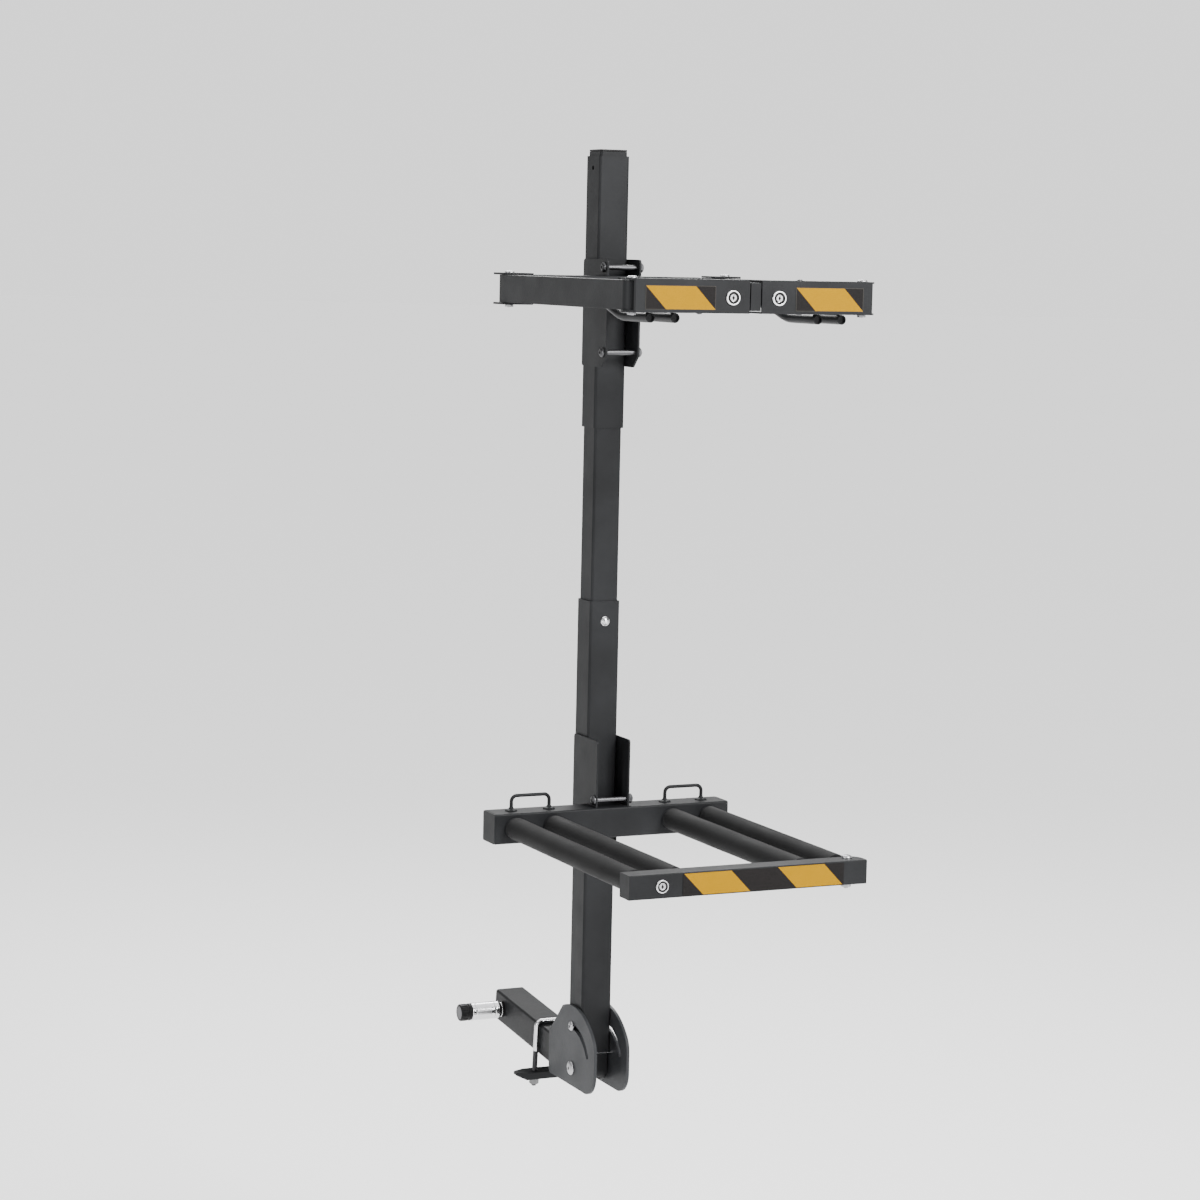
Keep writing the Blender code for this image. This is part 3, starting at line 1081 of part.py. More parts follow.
def upper_bar(side, axis, sign):
    """Front bar of the holder: open channel with round lugs over the arm, tape and lock."""
    pin = (sign * HOLDER_PIN_X, FRONT_PIN_Y)
    at = (*pin, HOLDER_Z)
    lug = UPPER_LUG_RADIUS
    corners = [(sign * UPPER_BAR_INNER_END, UPPER_BAR_REAR, 0.0),
               (sign * UPPER_BAR_INNER_END, UPPER_BAR_FRONT, 0.0),
               (sign * UPPER_BAR_WEB_END, UPPER_BAR_FRONT, 0.0),
               (pin[0] + sign * lug, FRONT_PIN_Y - lug / 2, UPPER_LUG_CORNER),
               (pin[0] + sign * lug, FRONT_PIN_Y + lug, lug * UPPER_LUG_ROUND_SHARE),
               (pin[0] - sign * lug, UPPER_BAR_REAR, 0.0)]
    bar = plate([rounded(corners, steps=6)], 2 * UPPER_BAR_HALF, "Z", (0.0, 0.0, HOLDER_Z))
    core = UPPER_BAR_HALF - UPPER_BAR_WALL
    limits = sorted((0.0, sign * 2 * HOLDER_PIN_X))
    pocket = block((limits[0], UPPER_BAR_FRONT + UPPER_BAR_WALL, HOLDER_Z - core),
                   (limits[1], 0.0, HOLDER_Z + core))
    lock = (sign * UPPER_LOCK_X, UPPER_BAR_FRONT, HOLDER_Z - UPPER_LOCK_BELOW)
    body = LOCK_BODY_LENGTH + UPPER_BAR_WALL
    cuts = [pocket,
            rod((*pin, HOLDER_Z - ARM_HEIGHT), (*pin, HOLDER_Z + ARM_HEIGHT), BOLT_RADIUS + GAP),
            rod((lock[0], lock[1] - ARM_HEIGHT, lock[2]),
                (lock[0], lock[1] + 2 * UPPER_BAR_WALL, lock[2]), HOUSING_RADIUS + GAP)]
    piece("upper_bar_" + side, "powder_black", axis, [bar], at, cuts=cuts)

    ends = sorted((sign * UPPER_TAPE_INNER, sign * UPPER_TAPE_OUTER))
    tape("upper_tape_" + side, axis, *ends, HOLDER_Z - UPPER_TAPE_BELOW, UPPER_TAPE_HEIGHT,
         UPPER_BAR_FRONT)
    lock_housing("upper_lock_housing_" + side, axis, *lock, UPPER_FLANGE_RADIUS, body)
    lock_cylinder("upper_lock_cylinder_" + side, axis, *lock, body, upper_cam_front(),
                  UPPER_CAM_LENGTH)


def swinging_side(side, axis, sign):
    """One arm of the upper holder with the front bar hinged to it."""
    arm_axis = joint_axis("arm_axis_" + side, (sign * HOLDER_PIN_X, REAR_PIN_Y, HOLDER_Z), axis)
    side_arm("side_arm_" + side, arm_axis, sign)
    half_grip = UPPER_BAR_HALF + GAP
    seat = (sign * HOLDER_PIN_X, FRONT_PIN_Y, HOLDER_Z + half_grip)
    hinge_pin("front_hinge_pin_" + side, arm_axis, seat, 2 * half_grip)
    bar_axis = joint_axis("bar_axis_" + side, (sign * HOLDER_PIN_X, FRONT_PIN_Y, HOLDER_Z), arm_axis)
    upper_bar(side, bar_axis, sign)


def main():
    pivot = bpy.data.objects.new("tilt_pivot", None)
    RACK.objects.link(pivot)
    pivot.location = (0.0, -PIN_ALONG * math.cos(SHANK_PITCH), -PIN_ALONG * math.sin(SHANK_PITCH))
    vehicle_side = joint_axis("vehicle_side", (0.0, 0.0, 0.0))
    vehicle_side.parent = pivot
    shank_axis = joint_axis("shank_axis", (0.0, 0.0, 0.0))
    shank_axis.parent = pivot
    shank_axis.rotation_euler = (SHANK_PITCH, 0.0, 0.0)
    hitch_side(vehicle_side, shank_axis)

    tilt_axis = joint_axis("tilt_axis", (0.0, 0.0, 0.0))
    tilt_axis.parent = pivot
    mast_and_foot(tilt_axis)
    lower_brackets(tilt_axis)
    lower_carrier(tilt_axis)
    gate_mounts(tilt_axis)
    gate(joint_axis("gate_axis", (GATE_HINGE_X, GATE_HINGE_Y, GATE_Z), tilt_axis))

    inner_slide = joint_axis("inner_slide", (0.0, 0.0, MAST_STEP), tilt_axis)
    telescopic_mast(inner_slide)
    sleeve_slide = joint_axis("sleeve_slide", (0.0, 0.0, SLEEVE_BOTTOM), inner_slide)
    sleeve_and_brackets(sleeve_slide)
    upper_holder(sleeve_slide)
    for side, sign in (("left", -1), ("right", 1)):
        swinging_side(side, sleeve_slide, sign)


main()
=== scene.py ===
"""Hitch-mounted ski rack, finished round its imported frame."""
import json
import math

import bmesh
import bpy
from mathutils import Matrix, Vector, noise


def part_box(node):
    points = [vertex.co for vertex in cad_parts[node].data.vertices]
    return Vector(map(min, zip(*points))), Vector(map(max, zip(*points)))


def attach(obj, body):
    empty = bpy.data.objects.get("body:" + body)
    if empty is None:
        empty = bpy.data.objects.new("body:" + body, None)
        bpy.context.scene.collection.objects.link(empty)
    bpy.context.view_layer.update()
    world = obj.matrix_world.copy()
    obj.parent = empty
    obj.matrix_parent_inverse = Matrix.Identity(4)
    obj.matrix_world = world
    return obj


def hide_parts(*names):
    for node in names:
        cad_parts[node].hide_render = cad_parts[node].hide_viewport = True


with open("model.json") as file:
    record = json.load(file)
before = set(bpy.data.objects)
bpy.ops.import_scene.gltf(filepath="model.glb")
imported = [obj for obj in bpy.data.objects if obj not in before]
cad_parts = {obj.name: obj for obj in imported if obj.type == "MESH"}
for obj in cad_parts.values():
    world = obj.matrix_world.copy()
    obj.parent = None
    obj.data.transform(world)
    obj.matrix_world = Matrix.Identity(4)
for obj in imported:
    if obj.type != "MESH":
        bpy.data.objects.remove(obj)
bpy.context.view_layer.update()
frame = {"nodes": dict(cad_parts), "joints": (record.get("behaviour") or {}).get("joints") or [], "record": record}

bl_info = {
    "name": "Hitch Ski Rack",
    "version": (1, 0, 0),
    "blender": (4, 5, 0),
    "location": "3D View > Sidebar > Ski Rack",
    "description": "Builds a finished hitch-mounted ski rack round its frame",
    "category": "Object",
}

JOINTS = {joint["name"]: joint for joint in frame["joints"]}
BODY = {node: body for body, nodes in frame["record"]["behaviour"]["bodies"].items()
        for node in nodes}

# The hitch pin is at the origin. The shank rises from the tilt pivot towards the vehicle, and
# SHANK turns places along and across it into places in the frame.
PIVOT = Vector(JOINTS["mast_tilt"]["pos_m"])
SHANK_PITCH = math.radians(5.0)
SHANK = Matrix.Translation(PIVOT) @ Matrix.Rotation(SHANK_PITCH, 4, "X")

# Directions; front is the side away from the vehicle, where the camera stands
RIGHT, LEFT = (1, 0, 0), (-1, 0, 0)
REAR, FRONT = (0, 1, 0), (0, -1, 0)
UP, DOWN = (0, 0, 1), (0, 0, -1)
SIDES = ("left", "right")

# A piece that lies on a face of the frame stands this far off it
LIFT = 0.0003
# Points of a mesh closer than this become one; rings of a turned piece may lie closer
WELD = 0.00001
RING_WELD = 0.000002
# Faces that meet flatter than this become one, and sharper edges than this are rounded
FLAT_ANGLE = math.radians(1.0)
EDGE_ANGLE = math.radians(32.0)

# Camera that took the photograph
CAMERA_PLACE = (-2.0074, -4.6683, 1.2558)
CAMERA_AZIMUTH = math.radians(24.6746)
CAMERA_DOWN = math.radians(6.42)
CAMERA_ROLL = math.radians(1.2368)
CAMERA_LENS = 93.74

# Light of the room by height: pale low down, dim walls, a wide soft ceiling light
SKY = ((0.0, 0.56), (0.09, 0.56), (0.2, 0.1), (0.58, 0.12), (0.72, 1.0))
SKY_STRENGTH = 2.6

# Lamps: name, place, width and height of the lit face, power. All look at one point.
LAMP_TARGET = (0.0, -0.4, 0.6)
LAMPS = (("key_light", (1.0, -4.0, 2.9), (1.4, 1.4), 400.0),
         ("front_light", (2.0, -4.4, 0.9), (1.6, 2.4), 60.0),
         ("strip_light", (-3.3, -1.7, 1.2), (0.3, 1.8), 60.0),
         ("rear_light", (1.2, 2.8, 3.0), (2.2, 1.0), 120.0))
FLOOR_SIZE = 240.0


def length_setting(name, description, default, least):
    return bpy.props.FloatProperty(
        name=name, description=description, default=default, min=least, unit="LENGTH")


def colour_setting(name, description, default):
    return bpy.props.FloatVectorProperty(
        name=name, description=description, default=default, size=3, subtype="COLOR")


class RackSizes(bpy.types.PropertyGroup):
    """Sizes of edges and small parts."""
    edge: length_setting(
        "Edge rounding", "Radius on the edges of the tilt plates and arms", 0.0009, 0.0001)
    sides: bpy.props.IntProperty(
        name="Round sides", description="Faces round a turned piece", default=48, min=16)
    thread_pitch: length_setting(
        "Thread pitch", "Step from one thread crest to the next", 0.00125, 0.0005)
    foam_swell: length_setting(
        "Foam unevenness", "How far the foam surface rises and falls", 0.00025, 0.0)
    floor_drop: length_setting(
        "Floor below pin", "Height of the hitch pin over the floor", 0.62, 0.2)


class RackColours(bpy.types.PropertyGroup):
    """Colours of the finishes."""
    powder: colour_setting(
        "Powder coat", "Satin black of the tubes and bars", (0.0085, 0.0088, 0.0095))
    plate: colour_setting(
        "Tilt plates", "Dark grey of the two tilt plates", (0.024, 0.025, 0.027))
    foam: colour_setting("Foam", "Matt black of the foam sleeves", (0.004, 0.004, 0.0042))
    plastic: colour_setting("Plastic", "Black of the caps", (0.004, 0.004, 0.0042))
    chrome: colour_setting("Chrome", "Bright plating of locks and clamp", (0.56, 0.56, 0.57))
    zinc: colour_setting("Zinc", "Plating of bolts and key plugs", (0.36, 0.36, 0.37))
    yellow: colour_setting(
        "Tape yellow", "Light stripe of the hazard tape", (0.25, 0.128, 0.0001))
    floor: colour_setting("Floor", "Pale studio floor", (0.95, 0.95, 0.95))


def sizes():
    return bpy.context.scene.rack_sizes


def colours():
    return bpy.context.scene.rack_colours


# Selecting and shaping

def pick(*objs):
    """Only these objects selected, the first one active."""
    if bpy.context.mode != "OBJECT":
        leave_edit()
    bpy.ops.object.select_all(action="DESELECT")
    for obj in objs:
        obj.select_set(True)
    bpy.context.view_layer.objects.active = objs[0]


def edit(obj):
    pick(obj)
    bpy.ops.object.mode_set(mode="EDIT")
    bpy.ops.mesh.select_all(action="SELECT")


def leave_edit():
    bpy.ops.object.mode_set(mode="OBJECT")


def weld_and_leave(reach):
    """Merges points that lie within reach, turns the faces outwards and ends the edit."""
    bpy.ops.mesh.remove_doubles(threshold=reach)
    bpy.ops.mesh.normals_make_consistent(inside=False)
    leave_edit()


def apply_modifier(obj, kind, **settings):
    pick(obj)
    modifier = obj.modifiers.new(kind.lower(), kind)
    for key, value in settings.items():
        setattr(modifier, key, value)
    bpy.ops.object.modifier_apply(modifier=modifier.name)


def new_object(name, data):
    obj = bpy.data.objects.new(name, data)
    bpy.context.scene.collection.objects.link(obj)
    return obj


def just_made(name):
    """The object that an operator has just made, under its own name."""
    obj = bpy.context.active_object
    obj.name = name
    return obj


def settle(obj, place=None):
    """The object's place goes into its mesh."""
    if place is not None:
        obj.matrix_world = place @ obj.matrix_world
    pick(obj)
    bpy.ops.object.transform_apply(location=True, rotation=True, scale=True)
    return obj


def smooth(obj, angle):
    pick(obj)
    bpy.ops.object.shade_smooth_by_angle(angle=angle)


def soften(obj, width=None, segments=2):
    """Rounds the edges and keeps the flats flat."""
    width = sizes().edge if width is None else width
    if width:
        apply_modifier(obj, "BEVEL", width=width, segments=segments, limit_method="ANGLE",
                       angle_limit=EDGE_ANGLE, use_clamp_overlap=True)
    smooth(obj, EDGE_ANGLE)
    apply_modifier(obj, "WEIGHTED_NORMAL", keep_sharp=True, weight=60)
    return obj


def joined(name, pieces):
    pick(*pieces)
    bpy.ops.object.join()
    return just_made(name)


def cut(obj, cutter, operation="DIFFERENCE"):
    apply_modifier(obj, "BOOLEAN", operation=operation, solver="EXACT", object=cutter)
    bpy.data.objects.remove(cutter, do_unlink=True)
    return obj


def standing(foot, axis):
    """Place of a piece that stands on its foot and points along its axis."""
    return Matrix.Translation(foot) @ Vector(axis).to_track_quat("Z", "Y").to_matrix().to_4x4()


def block(name, middle, size):
    """Plain block of a given size."""
    bpy.ops.mesh.primitive_cube_add(size=1.0, location=middle)
    piece = just_made(name)
    piece.scale = size
    return settle(piece)


def prism(name, place, radius, height):
    """Plain six-sided prism."""
    bpy.ops.mesh.primitive_cylinder_add(vertices=6, radius=radius, depth=height)
    piece = just_made(name)
    piece.matrix_world = place
    return settle(piece)


def worked_copy(name, node, width=None, reach=None):
    """Merged and rounded copy of a frame node; what stands further out in x than reach goes."""
    piece = new_object(name, frame["nodes"][node].data.copy())
    edit(piece)
    bpy.ops.mesh.customdata_custom_splitnormals_clear()
    bpy.ops.mesh.remove_doubles(threshold=WELD)
    if reach:
        mesh = bmesh.from_edit_mesh(piece.data)
        for face in mesh.faces:
            face.select_set(max(abs(vertex.co.x) for vertex in face.verts) > reach)
        bmesh.update_edit_mesh(piece.data)
        bpy.ops.mesh.delete(type="FACE")
        bpy.ops.mesh.select_all(action="SELECT")
        bpy.ops.mesh.fill_holes(sides=0)
        bpy.ops.mesh.select_all(action="SELECT")
    bpy.ops.mesh.dissolve_limited(angle_limit=FLAT_ANGLE)
    bpy.ops.mesh.select_all(action="SELECT")
    bpy.ops.mesh.normals_make_consistent(inside=False)
    leave_edit()
    return soften(piece, width)


def turned(name, rings, foot, axis, width=0.0002, sides=None, closed=False, place=None):
    """Round piece through rings of (radius, height), drawn out ring by ring along its axis.
    A closed one joins its last ring to its first and has a bore."""
    sides = sides or sizes().sides
    radius, height = rings[0]
    bpy.ops.mesh.primitive_circle_add(vertices=sides, radius=radius,
                                      fill_type="NOTHING" if closed else "NGON")
    piece = just_made(name)
    edit(piece)
    bpy.ops.transform.translate(value=(0, 0, height))
    extrude = bpy.ops.mesh.extrude_edges_move if closed else bpy.ops.mesh.extrude_region_move
    for next_radius, next_height in rings[1:] + (rings[:1] if closed else []):
        extrude()
        bpy.ops.transform.translate(value=(0, 0, next_height - height))
        share = next_radius / radius
        bpy.ops.transform.resize(value=(share, share, 1), center_override=(0, 0, next_height))
        radius, height = next_radius, next_height
    bpy.ops.mesh.select_all(action="SELECT")
    weld_and_leave(RING_WELD)
    piece.matrix_world = standing(foot, axis)
    settle(piece, place)
    return soften(piece, width)


def wire(name, points, radius, place=None, resolution=6):
    """Round bar along a path."""
    curve = bpy.data.curves.new(name, "CURVE")
    curve.dimensions = "3D"
    curve.bevel_depth = radius
    curve.bevel_resolution = resolution
    curve.use_fill_caps = True
    spline = curve.splines.new("POLY")
    spline.points.add(len(points) - 1)
    for point, where in zip(spline.points, points):
        point.co = (*where, 1.0)
    pick(new_object(name, curve))
    bpy.ops.object.convert(target="MESH")
    piece = bpy.context.active_object
    edit(piece)
    weld_and_leave(WELD)
    settle(piece, place)
    smooth(piece, math.radians(40.0))
    return piece


def bend(corner_from, corner, corner_to, radius, steps=10):
    """Arc that rounds a square corner of a wire's path."""
    corner = Vector(corner)
    before = (Vector(corner_from) - corner).normalized()
    after = (Vector(corner_to) - corner).normalized()
    centre = corner + (before + after) * radius
    turns = [math.pi / 2 * step / steps for step in range(steps + 1)]
    return [centre - after * radius * math.cos(t) - before * radius * math.sin(t) for t in turns]


def six_sided(name, middle, axis, across, height, place=None):
    """Nut: a six-sided prism whose corners are turned down at both ends."""
    corner = across / math.sqrt(3)
    nut = prism(name, standing(middle, axis), corner, height)
    bottom = -height / 2
    slope = (corner - across / 2) * 0.62
    end_radius, end_gap = across / 2 - 0.0002, 0.00001
    side_radius = corner + 0.0001
    rings = [(end_radius, bottom - end_gap), (side_radius, bottom + slope),
             (side_radius, -bottom - slope), (end_radius, -bottom + end_gap)]
    barrel = turned(name + "_barrel", rings, middle, axis, width=0)
    cut(nut, barrel, "INTERSECT")
    settle(nut, place)
    return soften(nut, 0.0003, segments=1)


def threaded(name, start, axis, radius, length, place=None):
    """Threaded end of a bolt, crest by crest, with its tip turned down."""
    pitch = sizes().thread_pitch
    rise, crest_end = pitch * 0.45, pitch * 0.58
    root = radius - rise
    rings = [(root, 0.0)]
    height = 0.0
    while height + pitch < length - pitch:
        rings += [(radius, height + rise), (radius, height + crest_end), (root, height + pitch)]
        height += pitch
    rings += [(root, length - pitch * 0.2), (root * 0.85, length)]
    return turned(name, rings, start, axis, width=0, sides=32, place=place)


def button_head(name, seat, axis, radius, height, socket=0.0, flange=0.0):
    """Domed head; its seat faces along the axis. The socket is six-sided."""
    out = -Vector(axis)
    rings = [(radius + flange, 0.0), (radius + flange, height * 0.16)]
    if flange:
        rings.append((radius, height * 0.3))
    dome_foot, dome_steps, dome_turn = 0.2, 9, 0.92
    for step in range(1, dome_steps):
        turn = math.pi / 2 * step / dome_steps
        rings.append((radius * math.cos(turn * dome_turn),
                      height * (dome_foot + (1 - dome_foot) * math.sin(turn))))
    rings.append((radius * 0.1, height))
    head = turned(name, rings, seat, out, width=0.00012)
    if socket:
        cut(head, prism(name + "_socket", standing(Vector(seat) + out * height, out), socket,
                        height * 1.3))
        soften(head, 0)
    return head


def bolt_and_nut(name, seat, axis, grip, radius=0.004, head_radius=0.0075, across=0.013,
                 head_height=0.0045, nut_height=0.0065, tip=0.002, socket=0.0025):
    """Bolt whose head stands on the seat, with its nut on the far end."""
    seat, axis = Vector(seat), Vector(axis)
    head = button_head(name + "_head", seat, axis, head_radius, head_height, socket)
    shaft = turned(name + "_shaft", [(radius, 0.0), (radius, grip)], seat, axis, width=0)
    nut = six_sided(name + "_nut", seat + axis * (grip + nut_height / 2), axis, across, nut_height)
    end = threaded(name + "_end", seat + axis * grip, axis, radius, nut_height + tip)
    return joined(name, [head, shaft, nut, end])


# Finishes

def new_look(name, colour, metallic=0.0, roughness=0.5, index=1.45):
    material = bpy.data.materials.new(name)
    material.use_nodes = True
    tree = material.node_tree
    shader = tree.nodes["Principled BSDF"]
    shader.inputs["Base Color"].default_value = (*colour, 1.0)
    shader.inputs["Metallic"].default_value = metallic
    shader.inputs["Roughness"].default_value = roughness
    shader.inputs["IOR"].default_value = index
    place = tree.nodes.new("ShaderNodeTexCoord").outputs["Object"]
    return material, tree, shader, place


def noise_of(tree, place, scale, detail=2.0, stretch=(1.0, 1.0, 1.0)):
    mapping = tree.nodes.new("ShaderNodeMapping")
    mapping.inputs["Scale"].default_value = stretch
    tree.links.new(place, mapping.inputs["Vector"])
    texture = tree.nodes.new("ShaderNodeTexNoise")
    texture.inputs["Scale"].default_value = scale
    texture.inputs["Detail"].default_value = detail
    tree.links.new(mapping.outputs["Vector"], texture.inputs["Vector"])
    return texture.outputs["Fac"]


def cells_of(tree, place, scale, feature="F1"):
    texture = tree.nodes.new("ShaderNodeTexVoronoi")
    texture.feature = feature
    texture.inputs["Scale"].default_value = scale
    tree.links.new(place, texture.inputs["Vector"])
    return texture.outputs["Distance"]


def ranged(tree, value, low, high, to_low=0.0, to_high=1.0):
    """Value between low and high, brought between two others and kept there."""
    node = tree.nodes.new("ShaderNodeMapRange")
    for key, number in (("From Min", low), ("From Max", high), ("To Min", to_low),
                        ("To Max", to_high)):
        node.inputs[key].default_value = number
    tree.links.new(value, node.inputs["Value"])
    return node.outputs["Result"]


def mixed(tree, share, first, second):
    """Mix of two colours, each a socket or three numbers."""
    node = tree.nodes.new("ShaderNodeMix")
    node.data_type = "RGBA"
    tree.links.new(share, node.inputs["Factor"])
    for socket, colour in ((node.inputs[6], first), (node.inputs[7], second)):
        if isinstance(colour, bpy.types.NodeSocket):
            tree.links.new(colour, socket)
        else:
            socket.default_value = (*colour, 1.0)
    return node.outputs[2]


def parts_of(tree, place):
    node = tree.nodes.new("ShaderNodeSeparateXYZ")
    tree.links.new(place, node.inputs["Vector"])
    return node.outputs


def maths(tree, operation, first, second=None):
    node = tree.nodes.new("ShaderNodeMath")
    node.operation = operation
    for socket, value in zip(node.inputs, (first, second)):
        if isinstance(value, bpy.types.NodeSocket):
            tree.links.new(value, socket)
        elif value is not None:
            socket.default_value = value
    return node.outputs["Value"]


def shade(colour, factor):
    return tuple(min(channel * factor, 1.0) for channel in colour)


def toned(tree, share, colour, darkest, lightest):
    """One colour between a darker and a lighter shade of itself."""
    return mixed(tree, share, shade(colour, darkest), shade(colour, lightest))


def finish_look(tree, shader, colour, roughness, *reliefs):
    """Links colour, roughness and reliefs of (height, strength, distance), the last on top."""
    tree.links.new(colour, shader.inputs["Base Color"])
    tree.links.new(roughness, shader.inputs["Roughness"])
    normal = None
    for height, strength, distance in reliefs:
        node = tree.nodes.new("ShaderNodeBump")
        node.inputs["Strength"].default_value = strength
        node.inputs["Distance"].default_value = distance
        tree.links.new(height, node.inputs["Height"])
        if normal:
            tree.links.new(normal, node.inputs["Normal"])
        normal = node.outputs["Normal"]
    tree.links.new(normal, shader.inputs["Normal"])


def coated_look(name, colour, roughness, grain=900.0):
    """Powder coat: fine grain, slow changes of tone and faint handling marks."""
    material, tree, shader, place = new_look(name, colour, roughness=roughness, index=1.19)
    tone = noise_of(tree, place, scale=12.0, detail=4.0)
    streak = noise_of(tree, place, scale=26.0, detail=5.0)
    fine = noise_of(tree, place, scale=grain)
    peel = noise_of(tree, place, scale=grain / 5.0, detail=1.0)
    dusty = ranged(tree, tone, 0.3, 0.7)
    finish_look(tree, shader, toned(tree, dusty, colour, 0.8, 1.35),
                ranged(tree, streak, 0.3, 0.75, roughness - 0.03, roughness + 0.05),
                (peel, 0.16, 0.0006), (fine, 0.34, 0.0003))
    return material


def foam_look(colour):
    """Closed-cell foam: small cells under a dull skin, faintly scuffed along the bar."""
    material, tree, shader, place = new_look("foam_skin", colour, roughness=0.8, index=1.16)
    cells = cells_of(tree, place, scale=900.0)
    scuff = noise_of(tree, place, scale=60.0, detail=4.0, stretch=(1.0, 0.15, 1.0))
    tone = noise_of(tree, place, scale=18.0, detail=3.0)
    patches = ranged(tree, tone, 0.35, 0.7)
    finish_look(tree, shader, toned(tree, patches, colour, 0.8, 1.3),
                ranged(tree, scuff, 0.3, 0.7, 0.62, 0.82), (scuff, 0.15, 0.0008),
                (cells, 0.3, 0.0004))
    shader.inputs["Sheen Weight"].default_value = 0.04
    shader.inputs["Sheen Roughness"].default_value = 0.5
    return material


def moulded_look(name, colour, roughness):
    """Moulded plastic or rubber with a sparked grain."""
    material, tree, shader, place = new_look(name, colour, roughness=roughness, index=1.22)
    grain = cells_of(tree, place, scale=1500.0)
    tone = noise_of(tree, place, scale=40.0, detail=3.0)
    finish_look(tree, shader, toned(tree, tone, colour, 0.8, 1.25),
                ranged(tree, tone, 0.3, 0.7, roughness - 0.06, roughness + 0.08),
                (grain, 0.25, 0.0002))
    return material


def plated_look(name, colour, roughness, relief=0.05):
    """Plated metal: changes of tone and small marks."""
    material, tree, shader, place = new_look(name, colour, metallic=1.0, roughness=roughness)
    smear = noise_of(tree, place, scale=220.0, detail=4.0)
    marks = noise_of(tree, place, scale=900.0, detail=3.0)
    finish_look(tree, shader, toned(tree, smear, colour, 0.82, 1.12),
                ranged(tree, marks, 0.3, 0.7, max(roughness - 0.05, 0.03), roughness + 0.09),
                (marks, relief, 0.0001))
    return material


def off_middle(tree, value, middle):
    """How far a value is from a middle, on either side."""
    return maths(tree, "ABSOLUTE", maths(tree, "SUBTRACT", value, middle))


def banded_look(colour):
    """Chromed lock barrel with a satin band round its middle."""
    material, tree, shader, place = new_look("barrel_chrome", colour, metallic=1.0,
                                             roughness=0.12)
    low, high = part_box("pin_lock_barrel")
    band_middle, band_half = 0.42, 0.27
    share = ranged(tree, parts_of(tree, place)["X"], low.x, high.x)
    band = maths(tree, "LESS_THAN", off_middle(tree, share, band_middle), band_half)
    lines = noise_of(tree, place, scale=1200.0, detail=3.0, stretch=(1.0, 0.08, 0.08))
    mark = noise_of(tree, place, scale=160.0, detail=4.0)
    rough = maths(tree, "ADD", ranged(tree, band, 0.0, 1.0, 0.08, 0.26),
                  ranged(tree, lines, 0.3, 0.7, 0.0, 0.12))
    finish_look(tree, shader, toned(tree, mark, colour, 0.85, 1.1), rough, (lines, 0.08, 0.0001))
    return material


def tape_look(name, node, start, pitch, lean, border):
    """Reflective tape: leaning stripes, tiny cells in the film and, if asked, a grey border of painted edge
    highlight, which darkens the yellow stripes.
    """
    yellow = tuple(colours().yellow)
    dark_web, dark_cell = (0.007, 0.0065, 0.006), (0.011, 0.01, 0.01)
    edge_highlight_grey = (0.035, 0.033, 0.03)
    material, tree, shader, place = new_look(name, yellow, index=1.1)
    low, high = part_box(node)
    parts = parts_of(tree, place)
    x, z = parts["X"], parts["Z"]
    drop = ranged(tree, z, high.z, low.z, 0.0, lean)
    upright = maths(tree, "SUBTRACT", x, drop)
    along = maths(tree, "DIVIDE", maths(tree, "SUBTRACT", upright, start), 2 * pitch)
    light = maths(tree, "LESS_THAN", maths(tree, "FRACT", along), 0.5)
    film = cells_of(tree, place, scale=520.0, feature="DISTANCE_TO_EDGE")
    cell = ranged(tree, film, 0.0, 0.12)
    wear = noise_of(tree, place, scale=45.0, detail=4.0)
    bright = toned(tree, cell, yellow, 0.8, 1.0)
    bright = mixed(tree, ranged(tree, wear, 0.35, 0.75, 0.0, 0.5), bright, shade(yellow, 0.86))
    film_colour = mixed(tree, light, mixed(tree, cell, dark_web, dark_cell), bright)
    # The border is a painted edge highlight: a grey band round the tape's outline.
    if border:
        middle = (low + high) / 2
        edge_x = maths(tree, "GREATER_THAN", off_middle(tree, x, middle.x),
                       (high.x - low.x) / 2 - border)
        edge_z = maths(tree, "GREATER_THAN", off_middle(tree, z, middle.z),
                       (high.z - low.z) / 2 - border)
        rim = maths(tree, "MAXIMUM", edge_x, edge_z)
        film_colour = mixed(tree, rim, film_colour, edge_highlight_grey)
    finish_look(tree, shader, film_colour, ranged(tree, wear, 0.3, 0.7, 0.42, 0.58),
                (cell, 0.08, 0.0001))
    return material


LOOKS = {}


def make_looks():
    tones = colours()
    powder, plastic, chrome = tuple(tones.powder), tuple(tones.plastic), tuple(tones.chrome)
    LOOKS.update(
        powder=coated_look("powder_coat", powder, 0.44),
        plate=coated_look("plate_coat", tuple(tones.plate), 0.4),
        rod=coated_look("rod_coat", shade(powder, 0.9), 0.38, grain=1400.0),
        foam=foam_look(tuple(tones.foam)),
        plastic=moulded_look("moulded_plastic", plastic, 0.42),
        rubber=moulded_look("moulded_rubber", shade(plastic, 1.2), 0.62),
        face=moulded_look("cap_face", (0.1, 0.1, 0.105), 0.45),
        # Near black for painted shade in the locks' gaps, dishes and keyways
        dark=moulded_look("keyway_dark", (0.006, 0.006, 0.006), 0.7),
        chrome=plated_look("chrome_plate", chrome, 0.12),
        zinc=plated_look("zinc_plate", tuple(tones.zinc), 0.3, relief=0.12),
        black_bolt=plated_look("black_oxide", (0.07, 0.07, 0.073), 0.34, relief=0.12),
        # Chrome of the U-bolt nuts, darkened as painted shade for their dark reflections
        dull=plated_look("dull_plate", (0.13, 0.13, 0.132), 0.36, relief=0.3),
        barrel=banded_look(chrome))


def fit(piece, look, *nodes):
    """Finish and body of a piece that takes the place of these nodes, which are hidden."""
    dress(piece, look, nodes[0])
    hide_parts(*nodes)
    return piece


